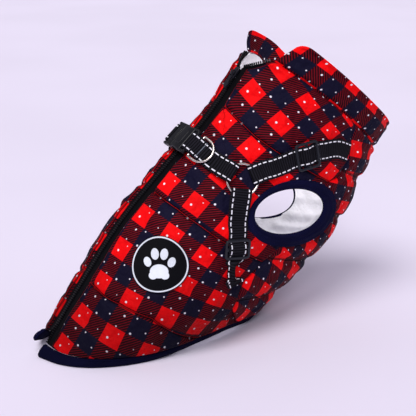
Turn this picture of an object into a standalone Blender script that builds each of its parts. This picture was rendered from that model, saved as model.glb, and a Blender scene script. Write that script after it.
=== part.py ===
"""Padded winter coat for a small dog, standing by itself on its hem.

The coat is a hollow vest with a back zip, a stand collar, ribbed edging and a
webbing harness sewn over it. It is filled out and empty, and it leans toward
its neck.

Frame: +X from the tail end of the zip toward the chest, near side at -Y,
+Z up, floor at z = 0, origin at the middle of the bottom of the box around it.
Lengths in the tables are millimetres, angles are degrees. A place on the coat
is (along, turn): along runs 0 at the hem to 1 at the neck seam, turn runs 0 at
the zip to 180 at the middle of the belly, positive on the near side.
"""
import math

import bmesh
import bpy
import numpy as np
from mathutils import Matrix, Vector

MM = 0.001

# ---------------------------------------------------------------- coat form
CENTRE_X = 105.4            # middle of the box, taken off every x below
# along, spine x, spine z, belly x, belly z, half width, egg (wider at the back)
STATIONS = np.array([
    (0.0, -91.3,   0.0, 139.1,   0.0, 57.0, 0.26),
    (0.2, -48.1,  63.1, 170.5,  28.8, 73.0, 0.25),
    (0.4,  -3.5, 123.3, 204.9,  55.0, 71.0, 0.23),
    (0.6,  45.9, 174.9, 236.4,  85.6, 69.0, 0.19),
    (0.8,  93.8, 222.7, 260.3, 126.3, 63.0, 0.14),
    (1.0, 138.0, 281.0, 282.0, 169.0, 52.0, 0.10),
])
HEM_LIFT = 7.0              # the hem between flank and belly clears the floor
HEM_LIFT_FROM = 70.0        # turn where the lift starts
HEM_LIFT_SPAN = 100.0
HEM_LIFT_FADE = 0.12        # along
TAIL_SPAN = 45.0            # the far tail corner is drawn up and stands off
TAIL_RISE = 0.036           # along
TAIL_RISE_FADE = 0.25
TAIL_FLARE = 8.0
TAIL_FLARE_FADE = 0.035

# ---------------------------------------------------------------- cloth
PANEL = 2.6                 # padded outer cloth
LINING = 1.0
GAP = 0.3                   # between pieces that touch on the real coat
HEM_BAND = 11.0             # height of the hem edging
HEM_SEAM = 0.7              # gap over the hem edging, whose edges are curved
EDGING_PROUD = 0.5          # edging stands this far outside the panels
NECK_END = 31.0             # turn of the collar ends
ZIP_OPEN = 0.92             # along, the slider: above it the zip is open
ZIP_HALF = 6.6              # zip centre to panel edge
TEETH_HALF = 2.3            # zip centre to the edge of the teeth
PANEL_TOP = 0.999           # along: the panels end just under the collar

# side seam between back panel and belly panel: along, turn
SIDE_SEAM = np.array([
    (0.00, 126.0), (0.05, 121.0), (0.18, 104.0), (0.32, 96.0), (0.471, 102.5),
    (0.745, 102.5), (0.80, 113.0), (0.88, 116.0), (0.94, 110.0), (1.00, 104.0),
])
# armhole: the seam edge of its edging, and the opening inside it
ARM_OUTER = {"along": 0.608, "turn": 102.5, "half_along": 0.137, "half_turn": 28.5}
ARM_INNER = {"along": 0.611, "turn": 95.5, "half_along": 0.094, "half_turn": 19.0}

# collar: turn, how far the rim is moved forward, sideways out and up
COLLAR = np.array([
    (31.0, 21.0, 17.0, 18.0),
    (50.0, 22.0,  9.0, 18.0),
    (75.0, 23.0,  1.0, 18.0),
    (105.0, 24.0, -4.0, 18.0),
    (140.0, 22.0, -3.0, 21.0),
    (180.0, 20.0,  0.0, 24.0),
])
COLLAR_WALL = 3.0
COLLAR_BOW = 1.6            # how far the collar swells between seam and rim

# ---------------------------------------------------------------- harness
WEB = 20.0                  # webbing width
WEB_THICK = 1.2
RING_AT = (0.652, 54.0)     # junction ring: along, turn
RING_RADIUS = 15.0          # to the middle of the wire
RING_WIRE = 1.1             # wire radius
FOLD = 9.0                  # ring centre to the end of each webbing fold
RETURN = 30.0               # webbing turned back under itself, from ring centre
BACK_STRAP = [RING_AT, (0.662, 40.0), (0.674, 24.0), (0.684, 9.0), (0.688, 0.0)]
CHEST_STRAP = [RING_AT, (0.700, 61.0), (0.740, 68.0), (0.795, 77.5), (0.845, 89.0),
               (0.885, 101.0), (0.898, 112.5)]
BELLY_STRAP = [RING_AT, (0.605, 57.0), (0.557, 61.0), (0.500, 66.5), (0.448, 74.5),
               (0.400, 78.0), (0.352, 82.0), (0.312, 88.5)]
WEB_CLEAR = 0.5             # webbing over the curved cloth
REST = WEB_CLEAR + WEB_THICK / 2            # middle of webbing that lies on the cloth
DOUBLE = REST + WEB_THICK + GAP             # middle of webbing that lies on webbing
RING_HEIGHT = REST + WEB_THICK / 2 + WEB_CLEAR + RING_WIRE
ROUTE_STEPS = 161
RIBBON_STEP = 6.0
# how far a route is kept straight each side of a hard piece, and its fade
RING_FLAT, RING_FADE = 19.0, 14.0
SLIDE_FLAT, SLIDE_FADE = 13.0, 9.0
BUCKLE_FLAT, BUCKLE_FADE = 17.0, 12.0
RING_STEPS = 32
CHEST_SLIDE_AT = 74.0       # ring centre to the middle of the slide, along the strap
BELLY_SLIDE_AT = 66.0
# flat slide: size, end bars, half the middle bar, and its height over the cloth
SLIDE = {"across": 27.0, "along": 20.0, "bar": 3.0, "middle": 1.7, "thick": 1.7, "height": 1.9}

# side-release buckle: half its length, where it parts, and its end bar and slot
BUCKLE = {"across": 28.0, "half": 21.0, "thick": 7.0, "base": 2.6, "split": 3.0,
          "bar": 3.0, "slot": 4.2}
ARM_REACH = 12.0
D_RING = {"inner": 22.0, "wire": 1.2, "reach": 16.5, "straight": 5.5, "tilt": 3.5}
D_BAR_BEFORE = 6.8          # D-ring bar to the buckle's end bar, along the strap
D_BAR_HEIGHT = 4.9          # over the buckle's seat

# slider: its plate, the bridge over it and the slot through the bridge, each
# (up the zip, across it, out of the coat)
SLIDER_PLATE = {"size": (10.0, 7.6, 2.9), "at": (0.0, 0.0, 0.95)}
SLIDER_BRIDGE = {"size": (5.6, 2.0, 4.2), "at": (1.0, 0.0, 3.7)}
SLIDER_SLOT = {"size": (2.6, 6.0, 2.4), "at": (1.0, 0.0, 3.8)}
PULL = {"length": 17.0, "thick": 1.2, "pin": 1.2, "end": 4.0, "window": (3.4, 3.0), "droop": 3.0}

BADGE_AT = (0.335, 44.0)
BADGE_RADIUS = 27.0
BADGE_THICK = 0.9

# ---------------------------------------------------------------- mesh density
ROWS_LOW = 6
ROWS_ARM = 12
ROWS_HIGH = 4
ROWS_NECK = 3
BACK_COLUMNS = 8
BELLY_COLUMNS = 9
BADGE_SIDES = 24
COLLAR_STEPS = 26

COLOURS = {
    "check_cloth": ((0.50, 0.02, 0.03), 0.85, 0.0),
    "rib_navy": ((0.012, 0.014, 0.05), 0.9, 0.0),
    "lining_white": ((0.80, 0.83, 0.90), 0.9, 0.0),
    "webbing_black": ((0.012, 0.012, 0.015), 0.8, 0.0),
    "zip_black": ((0.01, 0.01, 0.012), 0.6, 0.0),
    "buckle_black": ((0.012, 0.012, 0.014), 0.35, 0.0),
    "nickel": ((0.62, 0.60, 0.56), 0.25, 1.0),
    "badge_black": ((0.015, 0.015, 0.02), 0.6, 0.0),
}


# ---------------------------------------------------------------- the surface
def smooth_rows(position, table):
    """Smooth curve through a table's rows: cubic pieces whose slopes come from
    the neighbouring rows. The first column is the position."""
    knots, values = table[:, 0], table[:, 1:]
    slopes = np.gradient(values, knots, axis=0)
    position = np.asarray(position, float)
    row = np.clip(np.searchsorted(knots, position, side="right") - 1, 0, len(knots) - 2)
    step = (knots[row + 1] - knots[row])[..., None]
    t = (position - knots[row])[..., None] / step
    return ((2 * t**3 - 3 * t**2 + 1) * values[row]
            + (t**3 - 2 * t**2 + t) * step * slopes[row]
            + (3 * t**2 - 2 * t**3) * values[row + 1]
            + (t**3 - t**2) * step * slopes[row + 1])


def bare_form(along, turn):
    """The coat's form before the tail corner's flare, in millimetres: each
    section is an egg between its spine point and its belly point."""
    along, turn = np.broadcast_arrays(np.asarray(along, float), np.asarray(turn, float))
    turn = folded(turn)
    tail = tail_share(turn)
    place = along + TAIL_RISE * tail * np.exp(-along / TAIL_RISE_FADE)
    row = smooth_rows(place, STATIONS)
    angle = np.radians(turn)
    share = 0.5 - 0.5 * np.cos(angle)
    x = row[..., 0] + (row[..., 2] - row[..., 0]) * share - CENTRE_X
    z = row[..., 1] + (row[..., 3] - row[..., 1]) * share
    y = -row[..., 4] * np.sin(angle) * (1 + row[..., 5] * np.cos(angle))
    return np.stack([x, y, z + hem_lift(along, turn)], -1)


def folded(turn):
    """The same turn between -180 and 180."""
    return (np.asarray(turn, float) + 180.0) % 360.0 - 180.0


def tail_share(turn):
    """1 at the zip on the far side, 0 from TAIL_SPAN round, 0 on the near side."""
    return np.where(turn < 0, np.clip(1 + turn / TAIL_SPAN, 0, 1) ** 2, 0.0)


def hem_lift(along, turn):
    """How far the hem stands off the floor between flank and belly."""
    wave = np.clip((np.abs(turn) - HEM_LIFT_FROM) / HEM_LIFT_SPAN, 0, 1)
    return HEM_LIFT * np.sin(np.pi * wave) ** 2 * np.exp(-along / HEM_LIFT_FADE)


def outward(along, turn):
    """Unit vector that points out of the coat."""
    step = 1e-4
    up = bare_form(along + step, turn) - bare_form(along - step, turn)
    turn_step = 0.05
    round_ = bare_form(along, turn + turn_step) - bare_form(along, turn - turn_step)
    normal = np.cross(round_, up)
    return normal / np.linalg.norm(normal, axis=-1, keepdims=True)


def coat(along, turn, height=0.0):
    """A point of the coat moved out by height, in millimetres."""
    along, turn = np.broadcast_arrays(np.asarray(along, float), np.asarray(turn, float))
    flare = TAIL_FLARE * tail_share(folded(turn)) * np.exp(-(along / TAIL_FLARE_FADE) ** 2)
    offset = (np.asarray(height, float) + flare)[..., None]
    return bare_form(along, turn) + outward(along, turn) * offset


def turn_for(along, distance):
    """Degrees round from the zip that make a short distance in millimetres."""
    row = smooth_rows(along, STATIONS)
    return np.degrees(distance / (row[..., 4] * (1 + row[..., 5])))


def along_for(turn, distance):
    """The part of the length that makes a distance up from the hem."""
    step = 0.02
    rise = np.linalg.norm(coat(step, turn) - coat(0.0, turn), axis=-1)
    return distance * step / rise


def degrees_per_mm(along, turn):
    step = 1.0
    around = np.linalg.norm(coat(along, turn + step) - coat(along, turn), axis=-1)
    return step / around


# ---------------------------------------------------------------- mesh makers
def material(name):
    found = bpy.data.materials.get(name)
    if found:
        return found
    colour, roughness, metallic = COLOURS[name]
    made = bpy.data.materials.new(name)
    made.use_nodes = True
    shader = made.node_tree.nodes["Principled BSDF"]
    shader.inputs["Base Color"].default_value = (*colour, 1.0)
    shader.inputs["Roughness"].default_value = roughness
    shader.inputs["Metallic"].default_value = metallic
    made.diffuse_color = (*colour, 1.0)
    return made


def add_object(name, vertices, faces, finish, matrix=None):
    """A mesh object from points in millimetres, faces turned outward."""
    mesh = bpy.data.meshes.new(name)
    mesh.from_pydata([tuple(v) for v in np.asarray(vertices) * MM], [], faces)
    shaped = bmesh.new()
    shaped.from_mesh(mesh)
    bmesh.ops.recalc_face_normals(shaped, faces=shaped.faces[:])
    shaped.to_mesh(mesh)
    shaped.free()
    mesh.shade_smooth()
    mesh.set_sharp_from_angle(angle=math.radians(40))
    made = bpy.data.objects.new(name, mesh)
    made.data.materials.append(material(finish))
    bpy.context.scene.collection.objects.link(made)
    if matrix is not None:
        made.matrix_world = matrix
    return made


def wall(name, outer, inner, finish, closed=False):
    """A closed wall between two point grids of rows by columns. closed joins
    the last row to the first, as on a ring."""
    rows, columns = outer.shape[:2]
    count = rows * columns
    vertices = np.concatenate([outer.reshape(-1, 3), inner.reshape(-1, 3)])
    faces = []

    def quad(a, b, c, d):
        faces.extend([(a, b, c), (a, c, d)])

    last = rows if closed else rows - 1
    for i in range(last):
        below, above = i * columns, (i + 1) % rows * columns
        for j in range(columns - 1):
            quad(below + j, above + j, above + j + 1, below + j + 1)
            quad(count + below + j, count + below + j + 1, count + above + j + 1, count + above + j)
        for j in (0, columns - 1):
            quad(below + j, count + below + j, count + above + j, above + j)
    if not closed:
        for row in (0, (rows - 1) * columns):
            for j in range(columns - 1):
                quad(row + j, row + j + 1, count + row + j + 1, count + row + j)
    return add_object(name, vertices, faces, finish)


def tube_ring(name, centres, radius, finish, matrix, sides=8):
    """A closed round wire along a closed line of points in its own xy plane."""
    centres = np.column_stack([centres, np.zeros(len(centres))])
    ahead = np.roll(centres, -1, 0) - np.roll(centres, 1, 0)
    ahead /= np.linalg.norm(ahead, axis=1, keepdims=True)
    flat = np.array([0.0, 0.0, 1.0])
    sideways = np.cross(ahead, flat)
    angles = np.arange(sides) * 2 * np.pi / sides
    ring = (centres[:, None]
            + radius * np.cos(angles)[None, :, None] * sideways[:, None]
            + radius * np.sin(angles)[None, :, None] * flat)
    count = len(centres)
    faces = []
    for i in range(count):
        for j in range(sides):
            a, b = i * sides + j, i * sides + (j + 1) % sides
            c, d = (i + 1) % count * sides + (j + 1) % sides, (i + 1) % count * sides + j
            faces.append((a, b, c, d))
    return add_object(name, ring.reshape(-1, 3), faces, finish, matrix)


# ---------------------------------------------------------------- cloth panels
def row_places():
    """Rows of the panels, closer together where the armhole turns."""
    low, high = arm_limits(ARM_OUTER)
    below = np.linspace(0, low, ROWS_LOW + 1)[:-1]
    arm = ARM_OUTER["along"] - ARM_OUTER["half_along"] * np.cos(np.linspace(0, np.pi, ROWS_ARM + 1))
    above = np.linspace(high, ZIP_OPEN, ROWS_HIGH + 1)[1:]
    neck = np.linspace(ZIP_OPEN, 1, ROWS_NECK + 1)[1:]
    return np.concatenate([below, arm, above, neck])


def arm_limits(hole):
    return hole["along"] - hole["half_along"], hole["along"] + hole["half_along"]


def arm_edge(along, side):
    """Turn of the armhole's seam edge: side -1 toward the back, 1 toward the belly."""
    share = np.clip((along - ARM_OUTER["along"]) / ARM_OUTER["half_along"], -1, 1)
    return ARM_OUTER["turn"] + side * ARM_OUTER["half_turn"] * np.sqrt(1 - share**2)


def seam_turn(along, side):
    """Turn of the edge of the back panel (side -1) or the belly panel (side 1):
    the side seam, or the armhole where there is one."""
    seam = np.interp(along, SIDE_SEAM[:, 0], SIDE_SEAM[:, 1])
    low, high = arm_limits(ARM_OUTER)
    inside = (along >= low) & (along <= high)
    meeting = np.where(np.abs(along - low) < 1e-9, seam, arm_edge(along, side))
    meeting = np.where(np.abs(along - high) < 1e-9, seam, meeting)
    return np.where(inside, meeting, seam)


def zip_edge(along):
    """Turn of the back panel's edge at the zip, spread open above the slider."""
    closed = turn_for(along, ZIP_HALF)
    spread = np.clip((along - ZIP_OPEN) / (1 - ZIP_OPEN), 0, 1)
    return closed + (NECK_END - closed) * spread**1.2


def lifted(along, turn):
    """Moves the lowest rows up so that they begin at the top of the hem edging."""
    return along + along_for(turn, HEM_BAND + HEM_SEAM) * np.clip(1 - along / 0.3, 0, 1) ** 2


def panel_grid(first, last, columns, side=1):
    """Places (along, turn) of a panel between two edges given row by row."""
    rows = np.minimum(row_places(), PANEL_TOP)
    share = np.linspace(0, 1, columns + 1)
    turn = side * (first(rows)[:, None] + (last(rows) - first(rows))[:, None] * share)
    along = np.broadcast_to(rows[:, None], turn.shape)
    return lifted(along, turn), turn


def back_panel(name, side, outer, inner, finish, trim=0.0):
    """One half of the back, from the zip to the side seam."""
    def first(rows):
        return zip_edge(rows) + trim * degrees_per_mm(rows, 10.0)

    def last(rows):
        edge = seam_turn(rows, -1)
        return edge - (GAP / 2 + trim) * degrees_per_mm(rows, edge)

    along, turn = panel_grid(first, last, BACK_COLUMNS, side)
    wall(name, coat(along, turn, outer), coat(along, turn, inner), finish)


def belly_panel(name, outer, inner, finish, trim=0.0):
    """The belly and chest, from one side seam round to the other."""
    def first(rows):
        edge = seam_turn(rows, 1)
        return edge + (GAP / 2 + trim) * degrees_per_mm(rows, edge)

    def last(rows):
        return 360.0 - first(rows)

    along, turn = panel_grid(first, last, BELLY_COLUMNS)
    wall(name, coat(along, turn, outer), coat(along, turn, inner), finish)


def collar():
    """Stand collar: a flared band from one zip end round the front to the other."""
    turns = np.linspace(NECK_END, 360 - NECK_END, COLLAR_STEPS + 1)
    side = np.where(turns <= 180, 1.0, -1.0)
    reach = smooth_rows(np.minimum(turns, 360 - turns), COLLAR)
    foot = coat(np.full_like(turns, 1.0), turns)
    lean = np.stack([reach[:, 0], -side * reach[:, 1], reach[:, 2]], -1)
    length = np.linalg.norm(lean, axis=1, keepdims=True)
    rise = np.array([GAP / 30, 0.35, 0.7, 1.0])
    centre = foot[:, None] + lean[:, None] * rise[None, :, None]
    ahead = np.gradient(centre, axis=0)
    out = np.cross(ahead, (lean / length)[:, None])
    out /= np.linalg.norm(out, axis=-1, keepdims=True)
    bow = COLLAR_BOW * np.sin(np.pi * rise)[None, :, None]
    wall("collar", centre + out * bow, centre + out * (bow - COLLAR_WALL), "check_cloth")


def hem_turns():
    """Turns round the hem from one zip end to the other: those of the lowest
    row of the panels, so that the edges fit."""
    start = np.array([0.0])
    seam = SIDE_SEAM[0, 1]
    back = np.linspace(float(zip_edge(start)[0]), seam, BACK_COLUMNS + 1)
    belly = np.linspace(seam, 360.0 - seam, BELLY_COLUMNS + 1)
    return folded(np.concatenate([back[:-1], belly, 360.0 - back[-2::-1]]))


def hem_edging():
    """Ribbed edging round the hem, open at the zip, flat where it stands."""
    turns = hem_turns()
    levels = np.array([0.0, 0.35, 0.75, 1.0]) * HEM_BAND
    along = along_for(turns, 1.0)[:, None] * levels
    turn = np.broadcast_to(turns[:, None], along.shape)
    outer = coat(along, turn, EDGING_PROUD)
    inner = coat(along, turn, -PANEL - GAP - LINING - EDGING_PROUD)
    floor = hem_lift(0.0, turns) + tail_height(turns)
    outer[:, 0, 2] = floor
    inner[:, 0, 2] = floor
    wall("hem_edging", outer, inner, "rib_navy")


def tail_height(turns):
    """Height of the hem's lower edge at the drawn-up far tail corner."""
    raised = coat(0.0, turns)[:, 2] - hem_lift(0.0, turns)
    return np.where(tail_share(turns) > 0, np.maximum(raised, 0.0), 0.0)


def arm_edging(name, side):
    """Ribbed edging round an armhole, from its seam edge in to the opening."""
    angle = np.arange(2 * ROWS_ARM) * np.pi / ROWS_ARM

    def outline(hole, inset):
        along = hole["along"] - hole["half_along"] * np.cos(angle)
        turn = hole["turn"] + hole["half_turn"] * np.sin(angle)
        middle = coat(hole["along"], hole["turn"])
        rim = np.linalg.norm(coat(along, turn) - middle, axis=-1)
        keep = 1 - inset / rim
        return (hole["along"] + (along - hole["along"]) * keep,
                hole["turn"] + (turn - hole["turn"]) * keep)

    outer_along, outer_turn = outline(ARM_OUTER, GAP)
    inner_along, inner_turn = outline(ARM_INNER, 0.0)
    share = np.array([0.0, 0.5, 1.0])
    along = outer_along[:, None] + (inner_along - outer_along)[:, None] * share
    turn = side * (outer_turn[:, None] + (inner_turn - outer_turn)[:, None] * share)
    swell = np.array([0.2, EDGING_PROUD + 0.4, -1.2])
    depth = np.array([-PANEL - GAP - LINING, -PANEL - GAP - LINING - 0.8, -3.2])
    wall(name, coat(along, turn, swell), coat(along, turn, depth), "rib_navy", closed=True)


# ---------------------------------------------------------------- zip
def zip_strip(name, side, first, last, outer, inner, rows):
    """A strip beside the zip's middle line, between two distances from it.
    Above the slider it follows the panel's open edge."""
    rows = rows[:, None]
    across = np.linspace(first, last, 3 if first < 0 else 2)[None, :]
    turn = side * (zip_edge(rows) - turn_for(rows, ZIP_HALF) + turn_for(rows, across))
    along = lifted(np.broadcast_to(rows, turn.shape), turn)
    wall(name, coat(along, turn, outer), coat(along, turn, inner), "zip_black")


def zip_parts():
    """The two tapes, and the closed row of teeth up to just under the slider."""
    rows = np.minimum(row_places(), PANEL_TOP)
    for name, side in (("zip_tape_near", 1), ("zip_tape_far", -1)):
        zip_strip(name, side, TEETH_HALF + GAP, ZIP_HALF - GAP, -0.9, -2.1, rows)
    shut = np.append(rows[rows < ZIP_OPEN - 0.03], ZIP_OPEN - 0.022)
    zip_strip("zip_chain", 1, -TEETH_HALF, TEETH_HALF, 0.4, -2.0, shut)


def box_vertices(size, centre):
    half = np.asarray(size, float) / 2
    corners = np.array([(x, y, z) for x in (-1, 1) for y in (-1, 1) for z in (-1, 1)], float)
    return corners * half + np.asarray(centre, float)


BOX_FACES = [(0, 1, 3, 2), (4, 6, 7, 5), (0, 4, 5, 1), (2, 3, 7, 6), (0, 2, 6, 4), (1, 5, 7, 3)]


def frame_matrix(origin, x_axis, z_axis):
    """Placement with the given local x and z directions, in metres."""
    z_axis = Vector(z_axis).normalized()
    x_axis = Vector(x_axis)
    x_axis = (x_axis - z_axis * x_axis.dot(z_axis)).normalized()
    y_axis = z_axis.cross(x_axis)
    turned = Matrix((x_axis, y_axis, z_axis)).transposed().to_4x4()
    return Matrix.Translation(Vector(origin) * MM) @ turned


def rounded(made, width, segments=2):
    bevel = made.modifiers.new("rounding", "BEVEL")
    bevel.width = width * MM
    bevel.segments = segments
    bevel.limit_method = "ANGLE"
    bevel.angle_limit = math.radians(40)
    return made


def guide(made):
    """Marks a helper shape, which is no piece of the coat."""
    made.hide_render = True
    made.display_type = "WIRE"
    return made


def cut(made, cutter):
    guide(cutter)
    cutting = made.modifiers.new("cut", "BOOLEAN")
    cutting.operation = "DIFFERENCE"
    cutting.solver = "EXACT"
    cutting.object = cutter
    return made


def slider_place():
    """Frame on the zip at the slider: x up the zip, z out of the coat."""
    here = coat(ZIP_OPEN, 0.0)
    ahead = coat(ZIP_OPEN + 0.01, 0.0) - coat(ZIP_OPEN - 0.01, 0.0)
    return here, ahead, outward(ZIP_OPEN, 0.0)


def slider_block(name, block, place):
    return add_object(name, box_vertices(block["size"], block["at"]), BOX_FACES, "zip_black", place)


def zip_slider():
    """Slider body: a top plate with a raised bridge that has a slot across it."""
    place = frame_matrix(*slider_place())
    plate = rounded(slider_block("zip_slider", SLIDER_PLATE, place), 0.8)
    joined = plate.modifiers.new("bridge", "BOOLEAN")
    joined.operation = "UNION"
    joined.solver = "EXACT"
    joined.object = guide(slider_block("slider_bridge", SLIDER_BRIDGE, place))
    cut(plate, slider_block("slider_slot", SLIDER_SLOT, place))


def zip_pull():
    """Pull tab: a flat tongue with a round end. The bar at its upper end, which
    it swings on, goes through the bridge's slot."""
    here, ahead, out = slider_place()
    unit = ahead / np.linalg.norm(ahead)
    across = np.cross(out, unit)
    up_zip, _, high = SLIDER_SLOT["at"]
    pivot = here + unit * up_zip + out * high
    droop = math.radians(PULL["droop"])
    down = -unit * math.cos(droop) - out * math.sin(droop)
    place = frame_matrix(pivot, down, np.cross(down, across))
    pin, end, thick = PULL["pin"] / 2, PULL["end"], PULL["thick"] / 2
    straight = PULL["length"] * 0.6
    edge = [(-pin, 2.9), (straight, 2.6)]
    outline = [(x, -y) for x, y in edge]
    for step in range(9):
        angle = -math.pi / 2 + math.pi * step / 8
        outline.append((PULL["length"] - end + end * math.cos(angle), end * math.sin(angle)))
    outline += edge[::-1]
    count = len(outline)
    vertices = [(x, y, -thick) for x, y in outline] + [(x, y, thick) for x, y in outline]
    faces = [tuple(range(count)), tuple(range(count, 2 * count))]
    faces += [(i, (i + 1) % count, count + (i + 1) % count, count + i) for i in range(count)]
    tab = add_object("zip_pull", vertices, faces, "zip_black", place)
    length, width = PULL["window"]
    window = box_vertices((length, width, 4 * thick), (pin + length / 2, 0, 0))
    cut(tab, add_object("pull_window", window, BOX_FACES, "zip_black", place))


# ---------------------------------------------------------------- harness
class Route:
    """A webbing route over the coat, measured in millimetres from its start."""

    def __init__(self, points, side):
        points = np.array(points, float)
        hops = np.linalg.norm(np.diff(coat(points[:, 0], points[:, 1]), axis=0), axis=1)
        table = np.column_stack([np.concatenate([[0], np.cumsum(hops)]), points])
        fine = smooth_rows(np.linspace(0, table[-1, 0], ROUTE_STEPS), table)
        self.line = coat(fine[:, 0], side * fine[:, 1])
        hops = np.linalg.norm(np.diff(self.line, axis=0), axis=1)
        self.distance = np.concatenate([[0], np.cumsum(hops)])
        self.length = self.distance[-1]
        self.ahead = np.gradient(self.line, self.distance, axis=0)
        self.out = outward(fine[:, 0], side * fine[:, 1])

    def read(self, values, distance):
        """A value along the route at a distance from its start."""
        inside = np.clip(np.asarray(distance, float), 0, self.length)
        return np.stack([np.interp(inside, self.distance, values[:, k]) for k in range(3)], -1)

    def straighten(self, origin, ahead, out, at, half, fade):
        """Makes the route straight and flat near a hard piece: within half of
        at it lies in the plane through origin, and it fades back over fade."""
        ahead = ahead / np.linalg.norm(ahead)
        away = np.abs(self.distance - at)
        share = np.clip((half + fade - away) / fade, 0, 1)
        share = (share * share * (3 - 2 * share))[:, None]
        flat = origin + (self.distance - at)[:, None] * ahead
        self.line = self.line + (flat - self.line) * share
        self.out = self.out + (out - self.out) * share
        self.ahead = self.ahead + (ahead - self.ahead) * share

    def straighten_at(self, at, half, fade):
        """The same, in the cloth's own plane at one place of the route."""
        origin, ahead, _, out = self.axes(at)
        self.straighten(origin, ahead, out, at, half, fade)

    def axes(self, distance):
        """Place, and unit directions ahead, across and out, at a distance."""
        ahead, out = self.read(self.ahead, distance), self.read(self.out, distance)
        across = np.cross(out, ahead)
        across /= np.linalg.norm(across, axis=-1, keepdims=True)
        out = np.cross(ahead, across)
        out /= np.linalg.norm(out, axis=-1, keepdims=True)
        return self.read(self.line, distance), np.cross(across, out), across, out

    def place(self, distance, across, height):
        """A point: so far along, so far across and so high over the cloth.
        Past the ends the route goes on straight."""
        distance = np.asarray(distance, float)
        past = distance - np.clip(distance, 0, self.length)
        here, forward, sideways, out = self.axes(distance)
        return (here + forward * past[..., None]
                + sideways * np.asarray(across, float)[..., None]
                + out * np.asarray(height, float)[..., None])

    def matrix(self, distance, height):
        here, forward, _, out = self.axes(distance)
        return frame_matrix(here + out * height, forward, out)


def evenly(profile, longest):
    """The same open line with no piece longer than longest."""
    points = [profile[0]]
    for start, end in zip(profile[:-1], profile[1:]):
        start, end = np.array(start), np.array(end)
        pieces = max(1, math.ceil(np.linalg.norm(end - start) / longest))
        points += [start + (end - start) * (k + 1) / pieces for k in range(pieces)]
    return np.array(points, float)


def ribbon(name, route, profile, finish="webbing_black"):
    """Webbing of even thickness whose middle line follows (distance, height)."""
    profile = evenly(profile, RIBBON_STEP)
    ahead = np.gradient(profile, axis=0)
    ahead /= np.linalg.norm(ahead, axis=1, keepdims=True)
    normal = np.stack([-ahead[:, 1], ahead[:, 0]], -1) * WEB_THICK / 2
    across = np.array([-WEB / 2, WEB / 2])

    def face(points):
        grid = np.broadcast_to(points[:, None, :], (len(points), len(across), 2))
        spread = np.broadcast_to(across, grid.shape[:2])
        return route.place(grid[..., 0], spread, grid[..., 1])

    return wall(name, face(profile + normal), face(profile - normal), finish)


def half_turn(centre, reach, rise, start, steps=8):
    """Points of half an ellipse, from an angle on, in (distance, height)."""
    angles = start + np.pi * np.arange(steps + 1) / steps
    return [(centre[0] + reach * math.cos(a), centre[1] + rise * math.sin(a)) for a in angles]


def ring_place(side):
    """Middle of the junction ring over the cloth, and its axis."""
    along, turn = RING_AT
    return coat(along, side * turn), outward(along, side * turn)


def ring_fold():
    """Webbing that comes to the ring on top, goes round its wire and back
    underneath: (distance, height) from the strap's side to the turned end."""
    over = RING_HEIGHT + RING_WIRE + GAP + WEB_THICK / 2
    bend = (over - REST) / 2
    points = [(RING_RADIUS + 13.0, DOUBLE), (RING_RADIUS + 7.0, DOUBLE + 0.4),
              (RING_RADIUS + 2.6, over), (RING_RADIUS - 1.5, over)]
    points += half_turn((FOLD + bend, REST + bend), bend, bend, math.pi / 2)[1:]
    points += [(RETURN, REST)]
    return points


def slide_pass(at):
    """Webbing under the slide's outer bars and over its middle bar."""
    over = SLIDE["height"] + SLIDE["thick"] + GAP + WEB_THICK / 2
    return [(at + 12.5, REST), (at + 6.9, REST), (at + 2.6, over), (at - 2.6, over),
            (at - 6.9, REST), (at - 12.5, REST)]


def sewn_strap(name, route, slide_at):
    """A strap from its sewn end to the ring, through its slide."""
    profile = [(route.length - 1.0, REST)]
    profile += slide_pass(slide_at)
    profile += [(RETURN + 8.0, REST), (RETURN + 2.0, DOUBLE)]
    profile += ring_fold()
    ribbon(name, route, profile)


def slide(name, route, at):
    """Slide: a flat frame with a bar across its middle."""
    length, bar, middle_bar = SLIDE["along"], SLIDE["bar"], SLIDE["middle"]
    thick = SLIDE["thick"]
    place = route.matrix(at, SLIDE["height"] + thick / 2)
    frame = add_object(name, box_vertices((length, SLIDE["across"], thick), (0, 0, 0)), BOX_FACES,
                       "buckle_black", place)
    window = length / 2 - bar - middle_bar
    for number, way in enumerate((1, -1)):
        hole = add_object(f"{name}_window_{number}",
                          box_vertices((window, WEB + 1.6, thick * 3),
                                       (way * (middle_bar + window / 2), 0, 0)),
                          BOX_FACES, "buckle_black", place)
        cut(frame, hole)


def junction_ring(name, side):
    middle, out = ring_place(side)
    place = frame_matrix(middle + out * RING_HEIGHT, (1.0, 0.0, 0.0), out)
    angle = np.arange(RING_STEPS) * 2 * np.pi / RING_STEPS
    centres = RING_RADIUS * np.stack([np.cos(angle), np.sin(angle)], -1)
    tube_ring(name, centres, RING_WIRE, "nickel", place)


# ---------------------------------------------------------------- buckle
def buckle_axes():
    """Place on the zip under the buckle, the zip's direction and out of the coat."""
    along = BACK_STRAP[-1][0]
    return coat(along, 0.0), outward(along, 0.0)


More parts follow.
